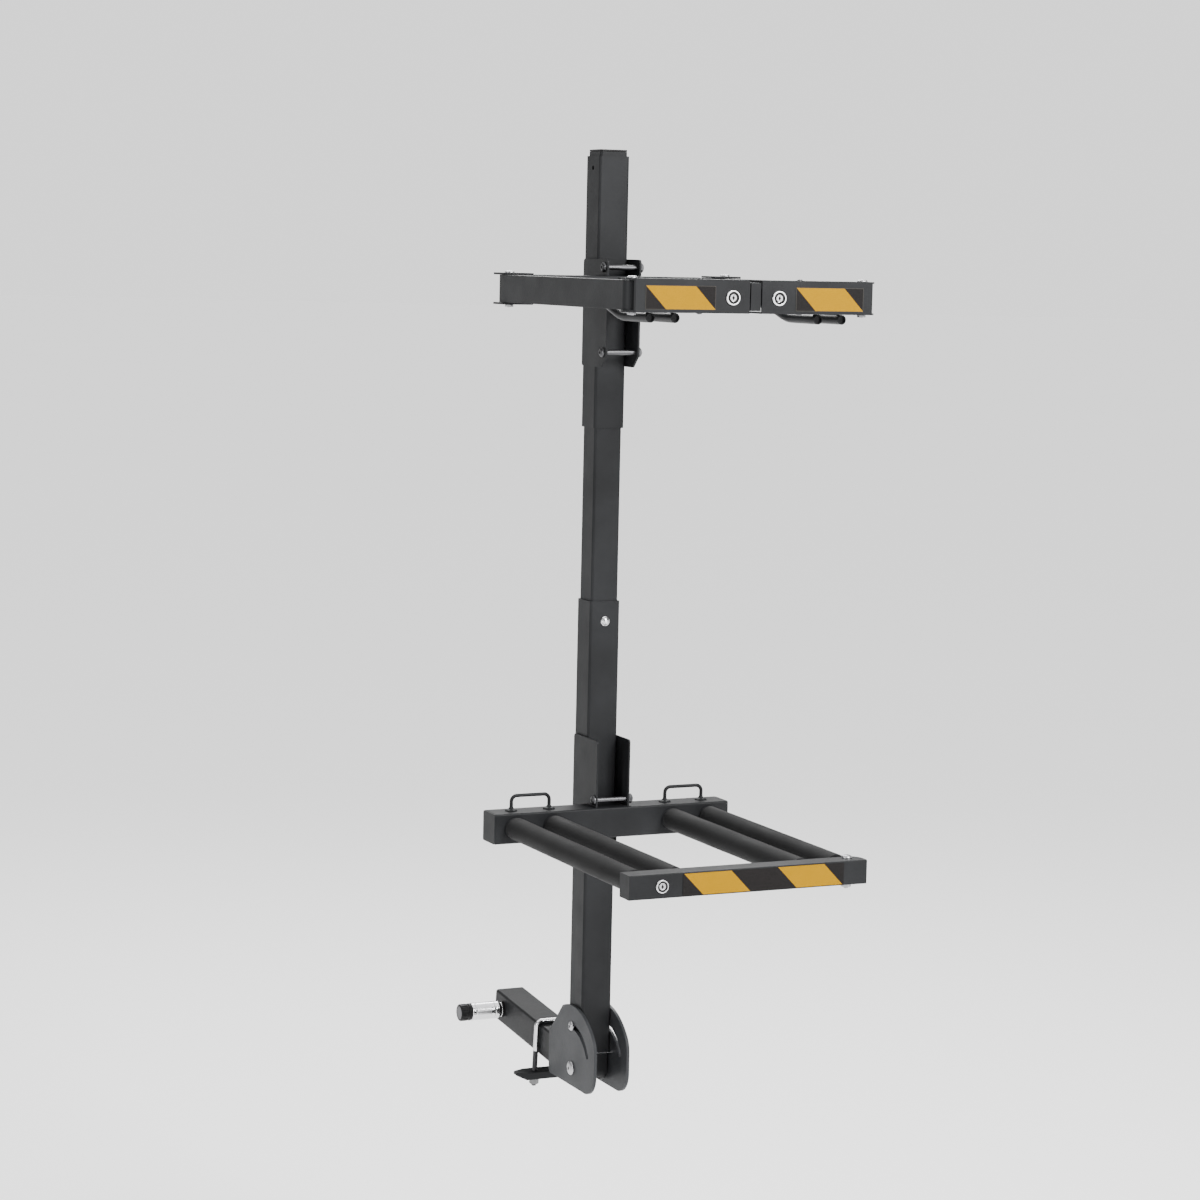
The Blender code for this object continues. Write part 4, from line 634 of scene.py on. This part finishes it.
def dress(piece, look, node):
    """Finish of a piece that goes with a node."""
    piece.data.materials.clear()
    piece.data.materials.append(LOOKS[look])
    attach(piece, BODY[node])
    return piece


def rework(node, look="powder", width=None, name=None):
    """Puts a rounded copy of a frame node in its place."""
    fit(worked_copy(name or node + "_piece", node, width), look, node)


# Hitch side

SHANK_HALF = 0.025  # half the width of the shank tube


def make_shank():
    rework("shank_tube", width=0.0008, name="shank")
    for side in SIDES:
        rework("tilt_plate_" + side, "plate")
    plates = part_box("tilt_plate_left")[0].x - LIFT
    bolt = bolt_and_nut("pivot_bolt_piece", (plates, PIVOT.y, PIVOT.z), RIGHT, -2 * plates,
                        radius=0.006, head_radius=0.011, across=0.019)
    fit(bolt, "zinc", "pivot_bolt")


def make_hitch_pin():
    """Pin with a chamfered tip and a plain round head."""
    low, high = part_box("hitch_pin")
    length = high.x - low.x
    head_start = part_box("shank_tube")[1].x + LIFT - low.x
    radius, head_radius = 0.0079, 0.0139
    rings = [(0.0065, 0.0), (radius, 0.0016), (radius, head_start - 0.0006),
             (0.0084, head_start), (head_radius, head_start), (head_radius, length - 0.0016),
             (0.0128, length - 0.0003), (0.006, length)]
    fit(turned("hitch_pin_piece", rings, (low.x, 0, 0), RIGHT, width=0.0003), "zinc", "hitch_pin")


def make_pin_collar():
    """Rubber collar with a waist, and a chrome ring in it as a painted highlight of the collar."""
    low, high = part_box("pin_collar")
    length = high.x - low.x
    bore, outer, waist = 0.0082, 0.0128, 0.0119
    rings = [(bore, 0.0), (outer, 0.0), (outer, length * 0.22), (waist, length * 0.34),
             (waist, length * 0.58), (outer, length * 0.7), (outer, length - 0.0002),
             (bore, length - 0.0002)]
    collar = turned("pin_collar_piece", rings, (high.x, 0, 0), LEFT, width=0.0003, closed=True)
    fit(collar, "rubber", "pin_collar")
    # The chrome ring is a painted highlight on the collar.
    rings = [(0.0122, 0.0), (0.0128, 0.0003), (0.013, 0.001), (0.0128, 0.0017), (0.0122, 0.002)]
    ring = turned("pin_collar_ring", rings, (high.x - length * 0.345, 0, 0), LEFT, closed=True)
    dress(ring, "chrome", "pin_collar")


def make_pin_barrel():
    """Lock barrel with a groove near each end, bored for the pin and for the key plug."""
    low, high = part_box("pin_lock_barrel")
    length = high.x - low.x
    outer, groove, pin_bore, plug_bore = 0.0144, 0.0139, 0.0083, 0.0066
    rings = [(pin_bore, 0.0), (0.0138, 0.0), (outer, 0.0008)]
    for share in (0.14, 0.84):
        rings += [(outer, length * share), (groove, length * (share + 0.015)),
                  (groove, length * (share + 0.03)), (outer, length * (share + 0.045))]
    rings += [(outer, length - 0.001), (0.0134, length), (plug_bore, length),
              (plug_bore, length * 0.77), (pin_bore, length * 0.62)]
    barrel = turned("pin_lock_barrel_piece", rings, (high.x, 0, 0), LEFT, width=0.0003,
                    closed=True)
    fit(barrel, "barrel", "pin_lock_barrel")


def make_pin_plug():
    """Key plug with its slot."""
    low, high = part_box("pin_key_cylinder")
    length = high.x - low.x
    rings = [(0.006, 0.0), (0.006, length - 0.0004), (0.0056, length)]
    plug = turned("pin_key_plug", rings, (high.x, 0, 0), LEFT, width=0.0001)
    cut(plug, block("pin_key_plug_slot", (low.x, 0, 0), (0.006, 0.0013, 0.0064)))
    soften(plug, 0)
    fit(plug, "zinc", "pin_key_cylinder")


def make_dust_cap():
    """Push-on cap with a neck, a grooved grip and a paler face let into its end."""
    low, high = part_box("pin_dust_cap")
    length = high.x - low.x
    bore, outer, neck, dish, core = 0.0112, 0.014, 0.0131, 0.0007, 0.0002
    rings = [(bore, 0.0), (0.0136, 0.0), (outer, 0.0006), (outer, 0.0042), (neck, 0.005),
             (neck, 0.0064), (outer, 0.0072), (outer, length - 0.002),
             (0.0134, length - 0.0006), (0.0122, length), (0.0108, length - 0.0001),
             (0.0106, length - dish), (core, length - dish), (core, length * 0.6),
             (bore, length * 0.6)]
    cap = turned("pin_dust_cap_piece", rings, (high.x, 0, 0), LEFT, closed=True)
    grip_faces(cap, (high.x - 0.0074, low.x + 0.0022), radius=0.0137, depth=0.0006)
    fit(cap, "plastic", "pin_dust_cap")
    face = turned("pin_cap_face", [(0.0105, 0.0), (0.0105, 0.0004), (0.01, 0.0006)],
                  (low.x + 0.00072, 0, 0), LEFT, width=0.0001)
    dress(face, "face", "pin_dust_cap")


def grip_faces(obj, span, radius, depth):
    """Finger grooves along the side of a round cap on the pin's axis."""
    start, end = sorted(span)
    every, border, smallest_area, most_lean = 4, 0.0003, 0.000008, 0.3
    edit(obj)
    mesh = bmesh.from_edit_mesh(obj.data)
    for face in mesh.faces:
        middle = face.calc_center_median()
        angle = math.atan2(middle.z, middle.y) / (2 * math.pi) * sizes().sides
        outside = math.hypot(middle.y, middle.z) > radius and start < middle.x < end
        grip = outside and math.floor(angle) % every == 0
        face.select_set(grip and abs(face.normal.x) < most_lean
                        and face.calc_area() > smallest_area)
    bmesh.update_edit_mesh(obj.data)
    bpy.ops.mesh.inset(thickness=border, depth=-depth, use_individual=True)
    leave_edit()


def make_clamp():
    """U-bolt over the shank, with its nuts under the clamp plate."""
    along, radius, bend_radius = 0.141, 0.00425, 0.008
    leg = SHANK_HALF + LIFT + radius
    foot, thread_top = -0.078, -0.019
    plate_top, plate_height = -0.0523, 0.012
    nut_across, nut_height, nut_middle = 0.0135, 0.0098, 0.005
    feet = [Vector((x, along, thread_top)) for x in (-leg, leg)]
    tops = [Vector((x, along, leg)) for x in (-leg, leg)]
    path = [feet[0]] + bend(feet[0], tops[0], tops[1], bend_radius)
    path += bend(tops[0], tops[1], feet[1], bend_radius) + [feet[1]]
    fit(wire("u_bolt_piece", path, radius, SHANK, resolution=8), "chrome", "u_bolt")
    threads, nuts = [], []
    nut_z = plate_top - plate_height - LIFT - nut_middle
    for index, x in enumerate((-leg, leg)):
        threads.append(threaded("u_bolt_thread_" + str(index), (x, along, thread_top), DOWN,
                                radius, thread_top - foot, SHANK))
        nuts.append(six_sided("u_bolt_nut_" + str(index), (x, along, nut_z), DOWN, nut_across,
                              nut_height, SHANK))
    dress(joined("u_bolt_threads", threads), "black_bolt", "u_bolt")
    # The nuts' darkened chrome is painted shade for their reflections.
    dress(joined("u_bolt_nuts", nuts), "dull", "u_bolt")
    rework("clamp_plate", width=0.0006)


# Mast

BRACKET_HALF = 0.0283  # half the width over a bracket's two plates


def make_mast():
    for node in ("mast_foot", "mast_lower_tube", "mast_inner_tube", "mast_sleeve"):
        rework(node, width=0.0006)
    rework("mast_top_cap", "plastic", 0.0008)
    make_highlight_rim()
    low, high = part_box("tilt_clamp_bolt")
    middle = (low + high) / 2
    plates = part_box("tilt_plate_left")[0].x - LIFT
    bolt = bolt_and_nut("tilt_clamp_bolt_piece", (plates, middle.y, middle.z), RIGHT, -2 * plates)
    fit(bolt, "zinc", "tilt_clamp_bolt")
    make_set_screw("mast_set_screw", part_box("mast_lower_tube")[0].y, -1)
    make_set_screw("sleeve_set_screw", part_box("mast_sleeve")[1].y, 1)


def make_highlight_rim():
    """Chrome ring round the bottom edge of the lower mast tube: its cut end, brightened into a painted highlight
    line. A flat ring with rounded corners.
    """
    node = "mast_lower_tube"
    low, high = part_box(node)
    half = (high.x - low.x) / 2
    outer, inner, height, corner = half + 0.00012, half - 0.0024, 0.0019, 0.004
    middle = (low + high) / 2
    middle.z = low.z + 0.0009
    rim = block("mast_cut_rim", middle, (2 * outer, 2 * outer, height))
    round_edges_along(rim, 2, corner)
    hole = block("mast_cut_hole", middle, (2 * inner, 2 * inner, 2 * height))
    round_edges_along(hole, 2, corner - outer + inner)
    dress(soften(cut(rim, hole), 0.0002), "chrome", node)


def make_set_screw(node, face, out):
    """Domed screw on a face of the mast; out is -1 on the front and 1 on the rear."""
    low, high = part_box(node)
    middle = (low + high) / 2
    seat = Vector((middle.x, face + out * LIFT, middle.z))
    inward = (0, -out, 0)
    head = button_head(node + "_head", seat, inward, radius=0.0062, height=0.0043, flange=0.0012)
    stem = turned(node + "_stem", [(0.0039, 0.0), (0.0039, 0.0022)], seat, inward, width=0)
    fit(joined(node + "_piece", [head, stem]), "chrome", node)


def bracket_bolt(name, node, y, z):
    """Cross bolt of a mast bracket with its nut."""
    bolt = bolt_and_nut(name, (-BRACKET_HALF, y, z), RIGHT, 2 * BRACKET_HALF, radius=0.0041,
                        head_radius=0.0076, across=0.0132)
    dress(bolt, "black_bolt", node)


def make_brackets():
    """Bracket plates without the frame's bolts, and bolts of their own."""
    for node in ("lower_bracket", "upper_bracket"):
        plates = worked_copy(node + "_plates", node, 0.0006, reach=BRACKET_HALF + 0.00005)
        fit(plates, "powder", node)
    beam_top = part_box("lower_beam")[1].z
    bracket_bolt("lower_bracket_bolt", "lower_bracket", PIVOT.y - 0.06, beam_top + 0.011)
    low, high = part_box("upper_bracket")
    bolt_y = PIVOT.y - 0.056
    bracket_bolt("upper_bracket_bolt_1", "upper_bracket", bolt_y, high.z - 0.0125)
    bracket_bolt("upper_bracket_bolt_2", "upper_bracket", bolt_y, low.z + 0.023)


# Lower carrier

# Half the mast with its gap, then the depth of the beam
BEAM_FRONT = PIVOT.y - 0.0253 - 0.0457


def make_lower_beam():
    rework("lower_beam", width=0.0007)
    for side in SIDES:
        make_carry_handle("carry_handle_" + side)


def make_carry_handle(node):
    """Bent rod on two turned feet."""
    low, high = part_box(node)
    foot_radius, rod_radius, bend_radius = 0.0095, 0.00275, 0.009
    y = (low.y + high.y) / 2
    bottom, top = low.z + 0.001, high.z - rod_radius
    ends = (low.x + foot_radius, high.x - foot_radius)
    corners = [Vector((ends[0], y, bottom)), Vector((ends[0], y, top)),
               Vector((ends[1], y, top)), Vector((ends[1], y, bottom))]
    path = [corners[0]] + bend(*corners[:3], bend_radius)
    path += bend(*corners[1:], bend_radius) + [corners[3]]
    parts = [wire(node + "_wire", path, rod_radius)]
    for index, x in enumerate(ends):
        rings = [(foot_radius, 0.0), (foot_radius, 0.0012), (0.0074, 0.0024), (0.0046, 0.0031),
                 (0.0033, 0.0047), (0.0028, 0.0062)]
        parts.append(turned(node + "_foot_" + str(index), rings, (x, y, low.z), UP))
    fit(joined(node + "_piece", parts), "powder", node)


def make_bars():
    for number in "1234":
        make_rod("bar_rod_" + number)
        make_sleeve("foam_sleeve_" + number)


def make_rod(node):
    """Open tube of a lower bar, with the ring on it where it leaves the beam."""
    low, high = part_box(node)
    middle = (low + high) / 2
    length = high.y - low.y
    outer, bore, ring_outer, ring_bore = 0.0125, 0.0106, 0.0165, 0.0126
    rings = [(outer, 0.0), (outer, length), (bore, length), (bore, 0.0)]
    tube = turned(node + "_tube", rings, (middle.x, high.y, middle.z), FRONT, width=0.0003,
                  closed=True)
    rings = [(ring_outer, 0.0), (ring_outer, 0.002), (0.015, 0.0032), (ring_bore, 0.0032),
             (ring_bore, 0.0)]
    ring = turned(node + "_ring", rings, (middle.x, BEAM_FRONT - LIFT, middle.z), FRONT,
                  width=0.0003, closed=True)
    fit(joined(node + "_piece", [tube, ring]), "rod", node)


def make_sleeve(node):
    """Foam sleeve: soft shoulders and a surface that rises and falls a little."""
    low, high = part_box(node)
    middle = (low + high) / 2
    length = high.y - low.y
    outer = (high.x - low.x) / 2
    bore, shoulder = 0.0129, 0.0035
    shoulder_steps, side_steps = 5, 44
    turns = [math.pi / 2 * step / shoulder_steps for step in range(shoulder_steps + 1)]
    rings = [(bore, 0.0), (outer - shoulder, 0.0)]
    for turn in turns[1:]:
        rings.append((outer - shoulder * (1 - math.sin(turn)), shoulder * (1 - math.cos(turn))))
    for step in range(1, side_steps):
        rings.append((outer, shoulder + (length - 2 * shoulder) * step / side_steps))
    for turn in turns:
        rings.append((outer - shoulder * (1 - math.cos(turn)),
                      length - shoulder * (1 - math.sin(turn))))
    rings.append((bore, length))
    sleeve = turned(node + "_piece", rings, (middle.x, high.y, middle.z), FRONT, width=0,
                    closed=True)
    swell, across_rate, along_rate = sizes().foam_swell, 30, 14
    for vertex in sleeve.data.vertices:
        x, y, z = vertex.co
        out = Vector((x - middle.x, 0, z - middle.z))
        if out.length > outer * 0.9:
            wave = noise.noise(Vector((x * across_rate, y * along_rate, z * across_rate)))
            vertex.co -= out.normalized() * swell * (1.0 + wave)
    smooth(sleeve, math.radians(50.0))
    fit(sleeve, "foam", node)


# Gate

def make_gate():
    rework("gate_channel", width=0.0007)
    rework("gate_hinge_lug", width=0.0006, name="gate_lug_piece")
    rework("gate_striker", "rod", 0.0004)
    low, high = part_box("gate_channel")
    x, y, _ = JOINTS["gate_swing"]["pos_m"]
    bolt = bolt_and_nut("gate_bolt_piece", (x, y, high.z + LIFT), DOWN, high.z - low.z + 2 * LIFT)
    fit(bolt, "zinc", "gate_hinge_bolt")
    make_lock("gate_lock", "gate_lock_housing", "gate_lock_cylinder", "gate_key", flange=0.01)
    show_node("gate_tape", tape_look("gate_tape_film", "gate_tape", start=-0.104, pitch=0.0739,
                                     lean=0.03, border=0.0))


def show_node(node, look):
    """A frame node that is shown as it is, in a look of its own."""
    materials = frame["nodes"][node].data.materials
    materials.clear()
    materials.append(look)


def make_lock(name, housing_node, cylinder_node, joint, flange):
    """Cam lock: bezel and barrel with a dark ring of painted shade in the gap round the plug, and the plug with
    its cam.
    """
    x, face, z = JOINTS[joint]["pos_m"]
    low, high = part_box(housing_node)
    inner, out = high.y - face, face - low.y
    bore, barrel, edge = 0.0056, 0.0074, flange - 0.0001
    rings = [(bore, 0.0), (bore, inner + out * 0.35), (flange * 0.74, inner + out * 0.35),
             (flange * 0.78, inner + out), (flange - 0.0009, inner + out),
             (edge, inner + out * 0.55), (edge, inner + LIFT), (barrel, inner + LIFT),
             (barrel, 0.0)]
    housing = turned(name + "_housing_piece", rings, (x, high.y, z), FRONT, width=0.00015,
                     closed=True)
    fit(housing, "chrome", housing_node)
    # The dark ring in the bezel's recess is painted shade in the gap round the plug.
    shade_ring_edge, shade_ring_height = flange * 0.735, 0.0003
    rings = [(bore, 0.0), (shade_ring_edge, 0.0), (shade_ring_edge, shade_ring_height), (bore, shade_ring_height)]
    shade_ring = turned(name + "_seal", rings, (x, low.y + out * 0.65 - 0.00002, z), FRONT, width=0,
                  closed=True)
    dress(shade_ring, "dark", housing_node)
    make_plug(name, cylinder_node, x, z, face + inner)


def make_plug(name, node, x, z, barrel_end):
    """Dished key plug with its slot, painted shade in the dish and behind the slot, and the cam and nut on its
    tail.
    """
    low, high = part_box(node)
    depth = high.y - low.y
    tail, tail_length, radius, dish = 0.003, high.y - barrel_end, 0.0051, 0.0005
    rings = [(tail, 0.0), (tail, tail_length), (radius, tail_length), (radius, depth - 0.0005),
             (0.0047, depth), (0.0023, depth), (0.0019, depth - dish)]
    plug = turned(name + "_plug", rings, (x, high.y, z), FRONT, width=0.0001)
    # A dark disc at the bottom of the dish is painted shade.
    bottom = turned(name + "_dish", [(0.0018, 0.0), (0.0018, 0.0001)], (x, low.y + dish, z),
                    FRONT, width=0)
    dress(bottom, "dark", node)
    cut(plug, block(name + "_slot", (x, low.y, z), (0.0014, 0.0028, 0.0062)))
    # A dark sheet behind the slot is painted shade in the keyway.
    back = block(name + "_slot_back", (x, low.y + 0.0011, z), (0.00132, 0.0003, 0.0061))
    dress(back, "dark", node)
    soften(plug, 0)
    cam_rear = high.y - 0.001
    cam_top, cam_width, cam_depth = 0.0045, 0.009, 0.0025
    cam_length = z - low.z + cam_top
    cam = block(name + "_cam", (x, cam_rear - cam_depth / 2, z + cam_top - cam_length / 2),
                (cam_width, cam_depth, cam_length))
    round_edges_along(cam, 1, 0.0022)
    soften(cam, 0.0003)
    nut = six_sided(name + "_cam_nut", (x, cam_rear + 0.0004, z), REAR, across=0.0075,
                    height=0.001)
    fit(joined(name + "_cylinder_piece", [plug, cam, nut]), "zinc", node)


def round_edges_along(obj, axis, width):
    """Rounds the edges that run along one axis (0 is x, 1 is y, 2 is z)."""
    edit(obj)
    mesh = bmesh.from_edit_mesh(obj.data)
    for edge in mesh.edges:
        run = edge.verts[0].co - edge.verts[1].co
        edge.select_set(abs(run[axis]) > 0.9 * run.length)
    bmesh.update_edit_mesh(obj.data)
    bpy.ops.mesh.bevel(offset=width, segments=5, affect="EDGES")
    leave_edit()


# Upper holder

# Heights of a hinge pin's head and nut, and what stands out of the nut
HINGE_HEAD, HINGE_NUT, HINGE_TIP = 0.003, 0.0035, 0.0005


def make_holder():
    for node in ("upper_beam", "centre_arm", "centre_block"):
        rework(node, width=0.0006)
    for side in SIDES:
        holder_pin("rear_hinge_pin_" + side, "arm_swing_" + side)
    for number in "1234":
        make_divider("divider_rod_" + number)


def holder_pin(node, joint):
    """Hinge pin with a low head and a low nut, so that the bars clear it."""
    low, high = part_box(node)
    x, y, _ = JOINTS[joint]["pos_m"]
    top = high.z - HINGE_HEAD
    bottom = low.z + HINGE_NUT + HINGE_TIP
    bolt = bolt_and_nut(node + "_piece", (x, y, top), DOWN, top - bottom, across=0.011,
                        head_height=HINGE_HEAD, nut_height=HINGE_NUT, tip=HINGE_TIP, socket=0.0)
    fit(bolt, "zinc", node)


def make_divider(node):
    """Rod out of the beam, one soft step down, then on under the front bar."""
    low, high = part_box(node)
    radius = 0.007
    outer = radius - 0.0001
    mouth_length, mouth_bore, mouth_depth, core = 0.0042, 0.0052, 0.0004, 0.0002
    x = (low.x + high.x) / 2
    start_z, end_z = high.z - radius, low.z + radius
    bend_start, bend_end, bend_steps = PIVOT.y - 0.31, PIVOT.y - 0.4, 16
    path = [(x, high.y, start_z), (x, (high.y + bend_start) / 2, start_z)]
    for step in range(bend_steps + 1):
        share = step / bend_steps
        drop = (1.0 - math.cos(math.pi * share)) / 2
        path.append((x, bend_start + (bend_end - bend_start) * share,
                     start_z + (end_z - start_z) * drop))
    path.append((x, low.y + 0.004, end_z))
    tube = wire(node + "_wire", path, outer, resolution=8)
    rings = [(outer, 0.0), (outer, 0.0036), (radius - 0.0006, mouth_length),
             (0.0054, mouth_length), (mouth_bore, 0.0036), (mouth_bore, mouth_depth),
             (core, mouth_depth), (core, 0.0)]
    mouth = turned(node + "_mouth", rings, (x, low.y + mouth_length, end_z), FRONT, width=0.0001,
                   closed=True)
    fit(joined(node + "_piece", [tube, mouth]), "rod", node)


def make_arms():
    for side in SIDES:
        rework("side_arm_" + side)
        holder_pin("front_hinge_pin_" + side, "bar_swing_" + side)


def make_upper_bars():
    for side, sign in zip(SIDES, (-1, 1)):
        node = "upper_bar_" + side
        rework(node, width=0.0007)
        make_lock("upper_lock_" + side, "upper_lock_housing_" + side,
                  "upper_lock_cylinder_" + side, "bar_key_" + side, flange=0.011)
        tape = "upper_tape_" + side
        show_node(tape, tape_look(tape + "_film", tape, start=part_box(tape)[0].x, pitch=0.076,
                                  lean=0.032, border=0.0007))
        low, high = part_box(node)
        x, y = sign * 0.078, (low.y + high.y) / 2
        for name, z, out in (("top", high.z, 1), ("under", low.z, -1)):
            screw = button_head("bar_screw_" + name + "_" + side, (x, y, z - out * 0.0001),
                                (0, 0, -out), radius=0.0042, height=0.0022, socket=0.0014)
            dress(screw, "black_bolt", node)


# Stage

def area_light(name, place, size, power):
    data = bpy.data.lights.new(name, "AREA")
    data.shape = "RECTANGLE"
    data.size, data.size_y = size
    data.energy = power
    light = new_object(name, data)
    light.location = place
    ahead = Vector(LAMP_TARGET) - Vector(place)
    light.rotation_euler = ahead.to_track_quat("-Z", "Y").to_euler()


def make_floor():
    """Pale floor that runs to the horizon."""
    pale = tuple(colours().floor)
    bpy.ops.mesh.primitive_plane_add(size=FLOOR_SIZE, location=(0, 0, -sizes().floor_drop))
    floor = settle(just_made("studio_floor"))
    material, tree, shader, place = new_look("studio_floor", pale, roughness=0.7)
    tone = noise_of(tree, place, scale=0.6)
    tree.links.new(toned(tree, tone, pale, 0.98, 1.0), shader.inputs["Base Color"])
    floor.data.materials.append(material)


def make_camera():
    """The photograph's camera, rolled a little to one side."""
    ahead = Vector((math.sin(CAMERA_AZIMUTH) * math.cos(CAMERA_DOWN),
                    math.cos(CAMERA_AZIMUTH) * math.cos(CAMERA_DOWN), -math.sin(CAMERA_DOWN)))
    right = Vector((math.cos(CAMERA_AZIMUTH), -math.sin(CAMERA_AZIMUTH), 0.0))
    up = right.cross(ahead)
    side = right * math.cos(CAMERA_ROLL) + up * math.sin(CAMERA_ROLL)
    top = up * math.cos(CAMERA_ROLL) - right * math.sin(CAMERA_ROLL)
    data = bpy.data.cameras.new("photo_camera")
    data.lens = CAMERA_LENS
    data.clip_end = 100.0
    camera = new_object("photo_camera", data)
    camera.matrix_world = Matrix.Translation(CAMERA_PLACE) @ Matrix(
        (side, top, -ahead)).transposed().to_4x4()
    bpy.context.scene.camera = camera


def make_lights():
    """The room's light and four lamps."""
    world = bpy.data.worlds.new("studio")
    world.use_nodes = True
    bpy.context.scene.world = world
    tree = world.node_tree
    direction = tree.nodes.new("ShaderNodeTexCoord").outputs["Generated"]
    ramp = tree.nodes.new("ShaderNodeValToRGB")
    tree.links.new(parts_of(tree, direction)["Z"], ramp.inputs["Fac"])
    stops = ramp.color_ramp.elements
    while len(stops) < len(SKY):
        stops.new(0.5)
    for stop, (height, level) in zip(stops, SKY):
        stop.position = height
        stop.color = (level, level, level, 1.0)
    background = tree.nodes["Background"]
    tree.links.new(ramp.outputs["Color"], background.inputs["Color"])
    background.inputs["Strength"].default_value = SKY_STRENGTH
    for lamp in LAMPS:
        area_light(*lamp)


class Maker:
    """Shared by the operators: one click makes one group of pieces."""
    bl_options = {"REGISTER", "UNDO"}
    makes = ()

    def execute(self, context):
        if not LOOKS:
            make_looks()
        for make in self.makes:
            make()
        return {"FINISHED"}


class RACK_OT_hitch(Maker, bpy.types.Operator):
    """Shank, tilt plates, hitch pin with its lock and the anti-rattle clamp"""
    bl_idname = "rack.hitch"
    bl_label = "Hitch Side"
    makes = (make_shank, make_hitch_pin, make_pin_collar, make_pin_barrel, make_pin_plug,
             make_dust_cap, make_clamp)


class RACK_OT_mast(Maker, bpy.types.Operator):
    """Mast foot, tubes, cap, screws and clamp bolt"""
    bl_idname = "rack.mast"
    bl_label = "Mast"
    makes = (make_mast,)


class RACK_OT_brackets(Maker, bpy.types.Operator):
    """Brackets that hold the two beams to the mast"""
    bl_idname = "rack.brackets"
    bl_label = "Brackets"
    makes = (make_brackets,)


class RACK_OT_carrier(Maker, bpy.types.Operator):
    """Lower beam, carry handles and foam-sleeved bars"""
    bl_idname = "rack.carrier"
    bl_label = "Lower Carrier"
    makes = (make_lower_beam, make_bars)


class RACK_OT_gate(Maker, bpy.types.Operator):
    """Gate with its hinge, lock, striker and hazard tape"""
    bl_idname = "rack.gate"
    bl_label = "Gate"
    makes = (make_gate,)


class RACK_OT_holder(Maker, bpy.types.Operator):
    """Upper beam, centre arm and divider rods"""
    bl_idname = "rack.holder"
    bl_label = "Upper Holder"
    makes = (make_holder,)


class RACK_OT_arms(Maker, bpy.types.Operator):
    """Swing arms and locking bars of the upper holder"""
    bl_idname = "rack.arms"
    bl_label = "Arms and Bars"
    makes = (make_arms, make_upper_bars)


class RACK_OT_stage(Maker, bpy.types.Operator):
    """Floor, lights and the camera"""
    bl_idname = "rack.stage"
    bl_label = "Stage"
    makes = (make_floor, make_camera, make_lights)


class RACK_PT_panel(bpy.types.Panel):
    """Lists the makers with their sizes and colours"""
    bl_label = "Ski Rack"
    bl_idname = "RACK_PT_panel"
    bl_space_type = "VIEW_3D"
    bl_region_type = "UI"
    bl_category = "Ski Rack"

    def draw(self, context):
        column = self.layout.column(align=True)
        for operator in OPERATORS:
            column.operator(operator.bl_idname)
        for group in (context.scene.rack_sizes, context.scene.rack_colours):
            box = self.layout.box()
            for key in group.__annotations__:
                box.prop(group, key)


OPERATORS = (RACK_OT_stage, RACK_OT_hitch, RACK_OT_mast, RACK_OT_brackets, RACK_OT_carrier,
             RACK_OT_gate, RACK_OT_holder, RACK_OT_arms)
CLASSES = (RackSizes, RackColours, *OPERATORS, RACK_PT_panel)


def register():
    for item in CLASSES:
        bpy.utils.register_class(item)
    bpy.types.Scene.rack_sizes = bpy.props.PointerProperty(type=RackSizes)
    bpy.types.Scene.rack_colours = bpy.props.PointerProperty(type=RackColours)


def unregister():
    del bpy.types.Scene.rack_colours
    del bpy.types.Scene.rack_sizes
    for item in reversed(CLASSES):
        bpy.utils.unregister_class(item)


def main():
    register()
    bpy.ops.rack.stage()
    bpy.ops.rack.hitch()
    bpy.ops.rack.mast()
    bpy.ops.rack.brackets()
    bpy.ops.rack.carrier()
    bpy.ops.rack.gate()
    bpy.ops.rack.holder()
    bpy.ops.rack.arms()


if __name__ == "__main__":
    main()
